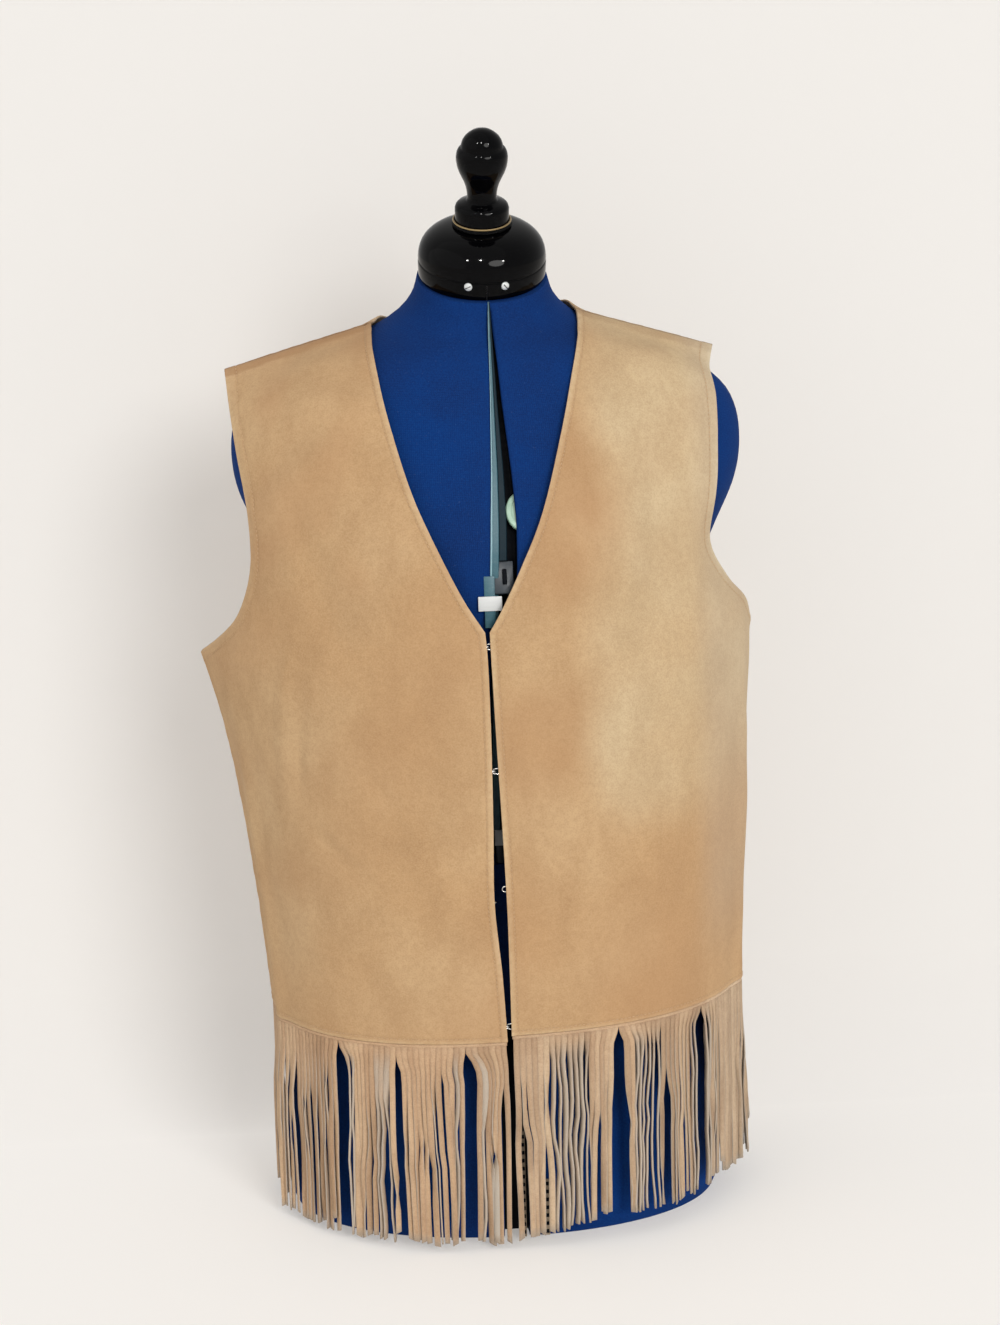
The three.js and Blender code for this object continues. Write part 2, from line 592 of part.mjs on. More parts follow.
/** A strip with its strands, hanging below a line of hem points with their outward normals. */
function fringe(name, hem, table, seed, material) {
  const total = lengthOf(hem.line);
  const count = table.strands;
  const pitch = (total - 2 * STRIP_MARGIN) / count;
  const points = [];
  const triangles = [];
  const put = (p) => points.push(p) - 1;
  const at = (distance, inset) => {
    const { point, run } = along(hem.line, clamp01(distance / total) * total);
    const out = new THREE.Vector3(-run.y, run.x, 0).multiplyScalar(hem.side);
    return { place: point.clone().addScaledVector(out, -inset), run, out, hemZ: point.z };
  };
  const corner = (distance, inset, below) => {
    const spot = at(distance, inset);
    return spot.place.setZ(spot.hemZ - below);
  };
  const insets = { outer: STRIP_INSET, inner: STRIP_INSET + STRAND_THICKNESS };
  const stripBottom = SEAM_GAP + STRIP_HEIGHT;

  // The strip: its lower rim has a corner on each side of every strand, its upper rim one for two strands.
  const lower = { outer: [], inner: [] };
  const upper = { outer: [], inner: [] };
  const stops = [STRIP_MARGIN / 2];
  for (let i = 0; i < count; i++) {
    const middle = STRIP_MARGIN + pitch * (i + 0.5);
    stops.push(middle - STRAND_WIDTH / 2, middle + STRAND_WIDTH / 2);
  }
  stops.push(total - STRIP_MARGIN / 2);
  for (const side of ["outer", "inner"]) {
    stops.forEach((s) => lower[side].push({ s, id: put(corner(s, insets[side], stripBottom)) }));
    const tops = Math.ceil(count / 2);
    for (let i = 0; i <= tops; i++) {
      const s = lerp(stops[0], stops[stops.length - 1], i / tops);
      upper[side].push({ s, id: put(corner(s, insets[side], SEAM_GAP)) });
    }
  }
  const turn = (triangle) => (hem.side > 0 ? triangle : [triangle[0], triangle[2], triangle[1]]);
  const face = (a, b, c) => triangles.push(turn([a, b, c]));
  const quad = (a, b, c, d) => {
    face(a, b, c);
    face(a, c, d);
  };
  const zip = (low, high, flip) => {
    let [i, j] = [0, 0];
    while (i + 1 < low.length || j + 1 < high.length) {
      const stepLow = j + 1 >= high.length || (i + 1 < low.length && low[i + 1].s <= high[j + 1].s);
      const third = stepLow ? low[i + 1].id : high[j + 1].id;
      if (flip) face(low[i].id, high[j].id, third);
      else face(low[i].id, third, high[j].id);
      if (stepLow) i++;
      else j++;
    }
  };
  zip(lower.outer, upper.outer, true);
  zip(lower.inner, upper.inner, false);
  for (let i = 0; i + 1 < upper.outer.length; i++) {
    quad(upper.outer[i].id, upper.inner[i].id, upper.inner[i + 1].id, upper.outer[i + 1].id);
  }
  for (const [i, flip] of [[0, true], [stops.length - 1, false]]) {
    const k = i ? upper.outer.length - 1 : 0;
    const ring = [lower.outer[i].id, upper.outer[k].id, upper.inner[k].id, lower.inner[i].id];
    quad(...(flip ? ring.reverse() : ring));
  }
  for (let i = 0; i < stops.length; i += 2) {
    quad(lower.outer[i].id, lower.outer[i + 1].id, lower.inner[i + 1].id, lower.inner[i].id);
  }

  // The strands: a four-sided section at each level, turned a little more at each.
  for (let i = 0; i < count; i++) {
    const k = 2 * i + 1;
    const middle = STRIP_MARGIN + pitch * (i + 0.5);
    const push = gapShift(middle, total, table.gaps);
    const twist = radians(STRAND_TWIST) * Math.sin(middle / TWIST_WAVE + seed);
    const lean = STRAND_LEAN * Math.sin(middle / LEAN_WAVE + 2 * seed);
    const end = readTable(table.end, "z", middle / total) + STRAND_END_SPREAD * chance(seed + 7 * i);
    let ring = [lower.outer[k].id, lower.outer[k + 1].id, lower.inner[k + 1].id, lower.inner[k].id];
    for (const level of STRAND_LEVELS.slice(1)) {
      const spot = at(middle + push * ease(level), STRIP_INSET + STRAND_THICKNESS / 2 - lean * level);
      const [sin, cos] = [Math.sin(twist * level), Math.cos(twist * level)];
      const across = spot.run.clone().multiplyScalar(cos).addScaledVector(spot.out, sin);
      const through = spot.out.clone().multiplyScalar(cos).addScaledVector(spot.run, -sin);
      const z = lerp(spot.hemZ - stripBottom, end, level);
      const next = [[-1, 1], [1, 1], [1, -1], [-1, -1]].map(([w, t]) =>
        put(
          spot.place
            .clone()
            .addScaledVector(across, (w * STRAND_WIDTH) / 2)
            .addScaledVector(through, (t * STRAND_THICKNESS) / 2)
            .setZ(z),
        ),
      );
      for (let c = 0; c < 4; c++) {
        const d = (c + 1) % 4;
        quad(ring[c], ring[d], next[d], next[c]);
      }
      ring = next;
    }
    quad(...ring);
  }
  return solid(name, points, triangles, material);
}

// ---------------------------------------------------------------- hooks and eyes

/** A bent wire along a smooth line of points. */
function wire(name, points, steps) {
  const curve = new THREE.CatmullRomCurve3(points.map((p) => new THREE.Vector3(...p)));
  const section = new THREE.Shape();
  for (let i = 0; i < WIRE_SIDES; i++) {
    const angle = (2 * Math.PI * i) / WIRE_SIDES;
    const [x, y] = [WIRE_RADIUS * Math.cos(angle), WIRE_RADIUS * Math.sin(angle)];
    if (i === 0) section.moveTo(x, y);
    else section.lineTo(x, y);
  }
  const geometry = new THREE.ExtrudeGeometry(section, { steps, extrudePath: curve, bevelEnabled: false });
  const mesh = new THREE.Mesh(geometry, finish(COLOURS.steel, 0.3));
  mesh.name = name;
  return mesh;
}

/** The point on a half panel's front edge at a height. */
function edgeAt(grid, height) {
  for (let i = 1; i < grid.length; i++) {
    const [a, b] = [grid[i - 1][0], grid[i][0]];
    if (b.z >= height) return a.clone().lerp(b, (height - a.z) / (b.z - a.z));
  }
  throw new Error("the front edge doesn't reach " + height);
}

/** A hook on the right front's edge and an eye on the left's, both sewn inside. */
function closure(row, right, left) {
  const lap = WIRE_RADIUS * 2 + SEAM_GAP; // the hook's tongue passes in front of the eye's bar by this much
  const a = edgeAt(right, row.height);
  const b = edgeAt(left, row.height - row.drop);
  const behind = Math.max(a.y, b.y) + SUEDE + SEWN_GAP + WIRE_RADIUS;
  const thick = WIRE_RADIUS * 2;
  const eyeTip = b.x - (row.fastened ? (b.x - a.x) / 2 + thick + EYE.play : EYE.open_reach);
  const hookTip = row.fastened ? eyeTip + thick + SEAM_GAP + HOOK.play : a.x + HOOK.open_reach;
  const hook = wire(
    "hook_" + row.name,
    [
      [a.x - SEWN_LENGTH, behind, a.z + HOOK.rise],
      [a.x - SEWN_BEND, behind, a.z + HOOK.rise],
      [hookTip - HOOK.nose, behind, a.z],
      [hookTip, behind + lap, a.z],
      [hookTip - HOOK.nose, behind + 2 * lap, a.z],
      [hookTip - HOOK.tongue, behind + 2 * lap, a.z],
    ],
    HOOK_STEPS,
  );
  const eyeDepth = behind + (row.fastened ? lap : 0);
  const bendDepth = (behind + eyeDepth) / 2;
  const eye = wire(
    "eye_" + row.name,
    [
      [b.x + SEWN_LENGTH, behind, b.z + EYE.spread],
      [b.x + SEWN_BEND, bendDepth, b.z + EYE.spread],
      [eyeTip, eyeDepth, b.z + EYE.bar],
      [eyeTip, eyeDepth, b.z - EYE.bar],
      [b.x + SEWN_BEND, bendDepth, b.z - EYE.spread],
      [b.x + SEWN_LENGTH, behind, b.z - EYE.spread],
    ],
    EYE_STEPS,
  );
  return [hook, eye];
}

// ---------------------------------------------------------------- assembly

/** The hem's points with the seam gap taken off both ends. */
function hemLine(grid) {
  const line = grid[0].map((p) => p.clone());
  const last = line.length - 1;
  line[0].add(toward(line[0], line[1], SEAM_GAP / 2));
  line[last].add(toward(line[last], line[last - 1], SEAM_GAP / 2));
  return line;
}

function build() {
  const suede = finish(COLOURS.suede, 0.95);
  const frontRight = halfPanel(FRONT_RIGHT, FOLDS.frontRight);
  const frontLeft = halfPanel(FRONT_LEFT, FOLDS.frontLeft);
  const backRight = halfPanel(BACK_RIGHT, FOLDS.backRight);
  const backLeft = halfPanel(BACK_LEFT, FOLDS.backLeft);
  const halves = {
    frontRight: { grid: frontRight, flip: true },
    frontLeft: { grid: frontLeft, flip: false },
    backRight: { grid: backRight, flip: false },
    backLeft: { grid: backLeft, flip: true },
  };
  const normals = sharedNormals(Object.values(halves));

  const backHem = [...hemLine(backRight).reverse(), ...hemLine(backLeft).slice(1)];
  const parts = [
    formTorso(),
    turnedPiece("form_neck_cap", CAP_PROFILE),
    turnedPiece("form_finial", FINIAL_PROFILE),
    wall("vest_front_right", [halves.frontRight], normals, suede),
    wall("vest_front_left", [halves.frontLeft], normals, suede),
    wall("vest_back", [halves.backRight, halves.backLeft], normals, suede),
    fringe("fringe_front_right", { line: hemLine(frontRight), side: 1 }, FRINGES.frontRight, 1, suede),
    fringe("fringe_front_left", { line: hemLine(frontLeft), side: -1 }, FRINGES.frontLeft, 2, suede),
    fringe("fringe_back", { line: backHem, side: 1 }, FRINGES.back, 3, suede),
    ...CLOSURES.flatMap((row) => closure(row, frontRight, frontLeft)),
  ];

  const body = new THREE.Group();
  body.add(...parts);
  body.updateMatrixWorld(true);
  const box = new THREE.Box3().setFromObject(body, true);
  body.position.set(-(box.min.x + box.max.x) / 2, -(box.min.y + box.max.y) / 2, 0);
  const object = new THREE.Group();
  object.add(body);
  return object;
}

export default build();
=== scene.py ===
"""Fringed suede vest on a limbless dress form: suede, stitches, fringe, wire and the form's fittings on the CAD frame.

Sizes are millimetres in the form's own frame, whose axis stands at x = y = 0 with the front at -Y, and +X is the
wearer's left. Placing turns them to the row frame in metres. Right and left in the names are the wearer's.
"""

import json
import logging
import math
from dataclasses import dataclass, field
from enum import Enum

import bpy
import numpy as np
from mathutils import Euler, Matrix, Vector

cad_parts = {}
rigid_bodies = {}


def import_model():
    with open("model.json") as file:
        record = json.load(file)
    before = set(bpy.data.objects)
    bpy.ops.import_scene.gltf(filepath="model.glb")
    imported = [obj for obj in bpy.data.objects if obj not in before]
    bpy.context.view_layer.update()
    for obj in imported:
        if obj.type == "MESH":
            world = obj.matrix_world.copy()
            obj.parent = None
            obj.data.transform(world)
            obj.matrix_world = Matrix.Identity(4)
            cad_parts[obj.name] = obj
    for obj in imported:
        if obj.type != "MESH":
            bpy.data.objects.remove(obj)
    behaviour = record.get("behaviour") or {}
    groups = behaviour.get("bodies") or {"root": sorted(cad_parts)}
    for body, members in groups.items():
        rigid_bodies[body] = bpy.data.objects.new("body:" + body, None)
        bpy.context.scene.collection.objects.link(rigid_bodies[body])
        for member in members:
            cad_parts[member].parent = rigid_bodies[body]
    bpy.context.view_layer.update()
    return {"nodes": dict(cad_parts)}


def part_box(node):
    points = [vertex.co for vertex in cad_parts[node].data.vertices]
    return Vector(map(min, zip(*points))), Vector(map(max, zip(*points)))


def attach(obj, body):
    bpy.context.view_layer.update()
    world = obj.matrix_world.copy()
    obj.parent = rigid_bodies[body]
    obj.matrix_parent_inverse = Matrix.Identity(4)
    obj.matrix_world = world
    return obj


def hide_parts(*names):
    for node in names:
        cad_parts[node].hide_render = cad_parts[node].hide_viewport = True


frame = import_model()

LOG = logging.getLogger("vest")
MM = 0.001
ROOT = "root"
# How many points are measured at a time, and the radius in mm that the tip of a turned piece keeps.
CHUNK = 2000
POINT_RADIUS = 0.02
Tri = tuple[float, float, float]
Array = np.ndarray
Piece = bpy.types.Object
Material = bpy.types.Material


# ---- small helpers


def ease(t: Array | float) -> Array | float:
    """Smooth step of a share, held to 0..1."""
    t = np.clip(t, 0.0, 1.0)
    return t * t * (3 - 2 * t)


def bell(distance: Array, half: float) -> Array:
    """One at no distance, and falling away over the half width."""
    return np.exp(-((distance / half) ** 2))


def unit(v: Array) -> Array:
    """Vectors of length one."""
    return v / np.maximum(np.linalg.norm(v, axis=-1, keepdims=True), 1e-12)


def hermite(a: Array, b: Array, slope_a: Array, slope_b: Array, t: Array) -> Array:
    """Cubic from a to b with the given slopes.

    Args:
        a: Start values.
        b: End values.
        slope_a: Slopes at the start.
        slope_b: Slopes at the end.
        t: Share of the way.

    Returns:
        The values at t.
    """
    t2, t3 = t * t, t * t * t
    ends = (2 * t3 - 3 * t2 + 1) * a + (3 * t2 - 2 * t3) * b
    return ends + (t3 - 2 * t2 + t) * slope_a + (t3 - t2) * slope_b


def arcs_of(line: Array) -> Array:
    """The length along a line at each of its points."""
    return np.concatenate([[0], np.cumsum(np.linalg.norm(np.diff(line, axis=0), axis=1))])


def along_line(at: Array | float, arcs: Array, line: Array) -> Array:
    """The line's points at lengths along it."""
    return np.stack([np.interp(at, arcs, line[:, k]) for k in range(line.shape[1])], -1)


def resample(line: Array, step: float) -> Array:
    """A line's points at an even spacing.

    Args:
        line: Points of the line, N x 3.
        step: Wanted spacing.

    Returns:
        Evenly spaced points from its first to its last.
    """
    arcs = arcs_of(line)
    count = max(2, int(round(arcs[-1] / step)) + 1)
    return along_line(np.linspace(0, arcs[-1], count), arcs, line)


def distance_to(points: Array, line: Array) -> Array:
    """Distance from each point to a line, by the line's points at half a millimetre.

    Args:
        points: N x 3 points.
        line: The line's points.

    Returns:
        N distances.
    """
    fine = resample(line, 0.5)
    parts = np.array_split(points, math.ceil(len(points) / CHUNK))
    return np.concatenate([np.sqrt(((part[:, None] - fine[None]) ** 2).sum(-1).min(1)) for part in parts])


def linear(rgb: Tri) -> tuple[float, float, float, float]:
    """A screen colour, 0 to 255, as a linear colour with alpha."""
    values = [c / 255 for c in rgb]
    return (*[c / 12.92 if c <= 0.04045 else ((c + 0.055) / 1.055) ** 2.4 for c in values], 1.0)


@dataclass(frozen=True)
class Placing:
    """Where the form's axis stands in the row frame."""

    x: float
    y: float

    @staticmethod
    def of_torso() -> "Placing":
        """The axis, from the box and the lowest ring of the torso's CAD node."""
        low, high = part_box("form_torso")
        foot = [v.co.y for v in frame["nodes"]["form_torso"].data.vertices if v.co.z < 1e-4]
        return Placing((low.x + high.x) / 2, (min(foot) + max(foot)) / 2 + 0.0055)

    def metres(self, points: Array) -> Array:
        """Points of the form's own frame, in the row frame."""
        return np.asarray(points, float) * MM + np.array([self.x, self.y, 0.0])

    def spot(self, point: Tri) -> Vector:
        """One point of the form's own frame, in the row frame."""
        return Vector(self.metres(np.array(point)))


PLACE = Placing.of_torso()


def waves(points: Array, seed: int, size: float, count: int = 7) -> Array:
    """A smooth field without direction, from plane waves.

    Args:
        points: N x 3 points.
        seed: Its number.
        size: Mean length of a wave.
        count: How many waves it adds up.

    Returns:
        N values, mostly from -1 to 1.
    """
    rng = np.random.RandomState(seed)
    total = np.zeros(points.shape[:-1])
    for _ in range(count):
        way = unit(rng.normal(size=3))
        length = size * rng.uniform(0.7, 1.5)
        total += np.sin(points @ way * (2 * math.pi / length) + rng.uniform(0, 2 * math.pi))
    return total / math.sqrt(count)


# ---- meshes


def new_object(name: str, data: bpy.types.ID) -> Piece:
    """An object of the scene, at the origin."""
    made = bpy.data.objects.new(name, data)
    bpy.context.scene.collection.objects.link(made)
    return made


def mesh_piece(
    name: str,
    points: Array,
    faces: list[tuple[int, ...]],
    material: Material,
    attributes: dict[str, Array] | None = None,
    uv: Array | None = None,
    smooth: bool = True,
) -> Piece:
    """A piece from its points and faces.

    Args:
        name: The piece's name.
        points: N x 3 points, in the form's own millimetres.
        faces: Its faces.
        material: Its first material.
        attributes: Values at the points, by name.
        uv: N x 2 places on the material, in metres.
        smooth: Whether it is shaded smooth.

    Returns:
        The object, at the origin.
    """
    mesh = bpy.data.meshes.new(name)
    mesh.from_pydata(PLACE.metres(points).tolist(), [], faces)
    for key, values in (attributes or {}).items():
        layer = mesh.attributes.new(key, "FLOAT", "POINT")
        layer.data.foreach_set("value", np.asarray(values, np.float32))
    if uv is not None:
        layer = mesh.uv_layers.new(name="UVMap")
        index = np.empty(len(mesh.loops), np.int32)
        mesh.loops.foreach_get("vertex_index", index)
        layer.data.foreach_set("uv", np.asarray(uv, np.float32)[index].ravel())
    mesh.polygons.foreach_set("use_smooth", [smooth] * len(mesh.polygons))
    mesh.materials.append(material)
    mesh.update()
    return new_object(name, mesh)


def tube_faces(levels: int, width: int, base: int = 0) -> list[tuple[int, ...]]:
    """Faces of a closed tube through rings of points.

    Args:
        levels: How many rings it has.
        width: How many points a ring has.
        base: The number of its first point.

    Returns:
        The faces from ring to ring, then its foot and its head.
    """
    faces = []
    for p in range(base, base + (levels - 1) * width, width):
        for j in range(width):
            k = (j + 1) % width
            faces.append((p + j, p + k, p + width + k, p + width + j))
    head = base + (levels - 1) * width
    return [*faces, tuple(range(base, base + width))[::-1], tuple(range(head, head + width))]


def deselect() -> None:
    """Nothing is selected, so that an operator acts on the new piece alone."""
    for o in bpy.context.view_layer.objects:
        o.select_set(False)


def pick(piece: Piece) -> None:
    """The piece is the only one selected, and active."""
    deselect()
    piece.select_set(True)
    bpy.context.view_layer.objects.active = piece


def edit_all() -> None:
    """Opens the active piece's mesh for editing, all of it selected."""
    bpy.ops.object.mode_set(mode="EDIT")
    bpy.ops.mesh.select_all(action="SELECT")


def settle(piece: Piece, name: str, material: Material, angle: float = 35) -> Piece:
    """Names and dresses an operator's piece, and takes its place into its mesh.

    Args:
        piece: The piece, in the row frame.
        name: Its name.
        material: Its material.
        angle: The sharpest edge that is shaded smooth, in degrees.

    Returns:
        The piece, at the origin.
    """
    pick(piece)
    bpy.ops.object.transform_apply(location=True, rotation=True, scale=True)
    edit_all()
    bpy.ops.mesh.remove_doubles(threshold=1e-6)
    bpy.ops.mesh.normals_make_consistent(inside=False)
    bpy.ops.object.mode_set(mode="OBJECT")
    bpy.ops.object.shade_smooth_by_angle(angle=math.radians(angle))
    piece.name = piece.data.name = name
    piece.data.materials.clear()
    piece.data.materials.append(material)
    return piece


def turned(profile: list[tuple[float, float]], sides: int) -> Piece:
    """A turned piece: a disc drawn up through its profile by extruding and resizing its rim's face.

    Args:
        profile: Radius and height of each ring, from its foot up, in mm.
        sides: How many sides it has.

    Returns:
        The piece, standing at the row frame's origin. The caller places and settles it.
    """
    deselect()
    radius, height = profile[0]
    foot = (0, 0, height * MM)
    bpy.ops.mesh.primitive_circle_add(vertices=sides, radius=radius * MM, fill_type="NGON", location=foot)
    piece = bpy.context.active_object
    bpy.ops.object.transform_apply(location=True, rotation=False, scale=False)
    edit_all()
    for next_radius, next_height in profile[1:]:
        next_radius = max(next_radius, POINT_RADIUS)
        bpy.ops.mesh.extrude_region_move(TRANSFORM_OT_translate={"value": (0, 0, (next_height - height) * MM)})
        share = next_radius / radius
        bpy.ops.transform.resize(value=(share, share, 1), center_override=(0, 0, next_height * MM))
        radius, height = next_radius, next_height
    bpy.ops.object.mode_set(mode="OBJECT")
    return piece


def rounded_box(size: Tri, bevel: float, segments: int = 2) -> Piece:
    """A block with its edges rounded over, at the row frame's origin.

    Args:
        size: Its width, depth and height, in mm.
        bevel: The radius of its edges, in mm.
        segments: How many faces round an edge.

    Returns:
        The block.
    """
    deselect()
    bpy.ops.mesh.primitive_cube_add(size=1)
    piece = bpy.context.active_object
    piece.scale = [s * MM for s in size]
    bpy.ops.object.transform_apply(location=False, rotation=False, scale=True)
    edit_all()
    bpy.ops.mesh.bevel(offset=bevel * MM, segments=segments, affect="EDGES")
    bpy.ops.object.mode_set(mode="OBJECT")
    return piece


def ride(piece: Piece) -> Piece:
    """The piece moves with the object, and its number of faces is logged."""
    LOG.info("%s: %d faces", piece.name, len(piece.data.polygons))
    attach(piece, ROOT)
    return piece


# ---- node helpers


class Graph:
    """A node tree, with short calls that add and join its nodes."""

    def __init__(self, tree: bpy.types.NodeTree) -> None:
        """Keeps the tree."""
        self.tree = tree

    def add(self, kind: str, inputs: dict | None = None, **settings) -> bpy.types.Node:
        """A node.

        Args:
            kind: Its type, without the ShaderNode in front.
            inputs: Values or sockets for its inputs, by name or number.
            settings: Its other settings.

        Returns:
            The node.
        """
        made = self.tree.nodes.new(kind if kind.startswith("Node") else "ShaderNode" + kind)
        for key, value in settings.items():
            setattr(made, key, value)
        return self.feed(made, inputs or {})

    def feed(self, node: bpy.types.Node, inputs: dict) -> bpy.types.Node:
        """Gives a node's inputs their values, or joins sockets to them.

        Args:
            node: The node.
            inputs: Values or sockets, by the input's name or number.

        Returns:
            The node.
        """
        for key, value in inputs.items():
            if isinstance(value, bpy.types.NodeSocket):
                self.tree.links.new(value, node.inputs[key])
            else:
                node.inputs[key].default_value = value
        return node

    def noise(self, place, scale: float, detail: float = 3.0, rough: float = 0.55, distort: float = 0.0):
        """A noise at a place, as its value socket."""
        values = {"Vector": place, "Scale": scale, "Detail": detail, "Roughness": rough, "Distortion": distort}
        return self.add("TexNoise", values).outputs["Fac"]

    def spread(self, value, low: float, high: float, to_low: float = 0.0, to_high: float = 1.0):
        """A value stretched from one range to another and held there."""
        values = {"Value": value, "From Min": low, "From Max": high, "To Min": to_low, "To Max": to_high}
        return self.add("MapRange", values, clamp=True).outputs["Result"]

    def math(self, how: str, a, b=0.0):
        """A sum or product, or another function of two values."""
        return self.add("Math", {0: a, 1: b}, operation=how).outputs[0]

    def mix(self, share, a, b, blend: str = "MIX"):
        """A mix of two colours."""
        return self.add("Mix", {0: share, 6: a, 7: b}, data_type="RGBA", blend_type=blend).outputs[2]

    def stain(self, share, strength: float, a, b):
        """A mix in which the second colour takes at most its strength."""
        return self.mix(self.math("MULTIPLY", share, strength), a, b)

    def bump(self, strength: float, distance: float, height):
        """A bumped normal."""
        return self.add("Bump", {"Strength": strength, "Distance": distance, "Height": height}).outputs[0]

    def attribute(self, name: str):
        """The value of a point attribute."""
        return self.add("Attribute", attribute_name=name).outputs["Fac"]


def new_group(name: str, inputs: list[tuple[str, str, object]], outputs: list[tuple[str, str]]) -> tuple:
    """An empty node group with its sockets.

    Args:
        name: The group's name.
        inputs: Name, socket type and default value of each input.
        outputs: Name and socket type of each output.

    Returns:
        The group, its graph, the sockets that come in and the node of its outputs.
    """
    group = bpy.data.node_groups.new(name, "ShaderNodeTree")
    for label, kind, value in inputs:
        made = group.interface.new_socket(label, in_out="INPUT", socket_type=kind)
        if value is not None:
            made.default_value = value
    for label, kind in outputs:
        group.interface.new_socket(label, in_out="OUTPUT", socket_type=kind)
    graph = Graph(group)
    return group, graph, graph.add("NodeGroupInput").outputs, graph.add("NodeGroupOutput")


COLOR, FLOAT, VECTOR = "NodeSocketColor", "NodeSocketFloat", "NodeSocketVector"


def nap_group() -> bpy.types.NodeTree:
    """Suede's nap: cloudy patches of tone, brushed streaks and fine fibre, with a height to match.

    Returns:
        The group: Color, Height and Roughness from Base, Light, Dark, Depth and Place.
    """
    group, g, given, out = new_group(
        "Suede nap",
        [
            ("Place", VECTOR, None),
            ("Base", COLOR, (0.5, 0.4, 0.3, 1)),
            ("Light", COLOR, (0.7, 0.6, 0.5, 1)),
            ("Dark", COLOR, (0.3, 0.2, 0.1, 1)),
            ("Depth", FLOAT, 1.0),
        ],
        [("Color", COLOR), ("Height", FLOAT), ("Roughness", FLOAT)],
    )
    place = given["Place"]
    clouds = g.noise(place, 9, 2, 0.45, 0.2)
    brushed = g.add("Mapping", {"Vector": place, "Scale": (1.0, 1.0, 0.5), "Rotation": (0.3, 0.5, 0.2)}).outputs[0]
    patches = g.noise(brushed, 30, 3, 0.5, 0.3)
    mottle = g.noise(place, 190, 3, 0.6, 0.2)
    fibre = g.noise(place, 760, 2, 0.7)
    light = g.math("MULTIPLY", g.spread(clouds, 0.4, 0.68), g.spread(patches, 0.3, 0.7, 0.6, 1.0))
    dark = g.math("MULTIPLY", g.spread(patches, 0.6, 0.3), given["Depth"])
    color = g.stain(light, 0.5, given["Base"], given["Light"])
    color = g.stain(dark, 0.3, color, given["Dark"])
    color = g.stain(g.spread(mottle, 0.62, 0.35), 0.2, color, given["Dark"])
    color = g.stain(g.spread(fibre, 0.45, 0.75), 0.3, color, given["Light"])
    color = g.stain(g.spread(fibre, 0.5, 0.25), 0.3, color, given["Dark"])
    height = g.math("ADD", g.math("MULTIPLY", mottle, 0.5), g.math("MULTIPLY", fibre, 0.35))
    height = g.math("ADD", height, g.math("MULTIPLY", patches, 0.4))
    g.feed(out, {"Color": color, "Height": height, "Roughness": g.spread(patches, 0.3, 0.7, 0.98, 0.86)})
    return group


def scuff_group() -> bpy.types.NodeTree:
    """Handling marks on hard pieces: dust in a fine noise and faint rubbed streaks.

    Returns:
        The group: Color, Roughness and Height from Base, Dust, Amount, Low, High and Place.
    """
    group, g, given, out = new_group(
        "Handling",
        [
            ("Place", VECTOR, None),
            ("Base", COLOR, (0, 0, 0, 1)),
            ("Dust", COLOR, (0.5, 0.5, 0.5, 1)),
            ("Amount", FLOAT, 0.1),
            ("Low", FLOAT, 0.1),
            ("High", FLOAT, 0.3),
        ],
        [("Color", COLOR), ("Roughness", FLOAT), ("Height", FLOAT)],
    )
    place = given["Place"]
    rubbed = g.noise(g.add("Mapping", {"Vector": place, "Scale": (1, 1, 5)}).outputs[0], 60, 4, 0.6, 0.4)
    dust = g.spread(g.noise(place, 900, 2, 0.6), 0.56, 0.8)
    share = g.math("MULTIPLY", g.math("ADD", dust, g.spread(rubbed, 0.5, 0.9)), given["Amount"])
    blend = g.add("Mix", {0: g.spread(rubbed, 0.35, 0.7), 2: given["Low"], 3: given["High"]}, data_type="FLOAT")
    g.feed(out, {"Color": g.mix(share, given["Base"], given["Dust"]), "Roughness": blend.outputs[0], "Height": rubbed})
    return group


GROUPS = {"nap": nap_group(), "scuff": scuff_group()}


# ---- finishes


def new_material(name: str) -> tuple:
    """A new material.

    Args:
        name: Its name.

    Returns:
        The material, its graph, its Principled shader and the place on the piece as a socket.
    """
    made = bpy.data.materials.new(name)
    made.use_nodes = True
    g = Graph(made.node_tree)
    return made, g, made.node_tree.nodes["Principled BSDF"], g.add("TexCoord").outputs["Object"]


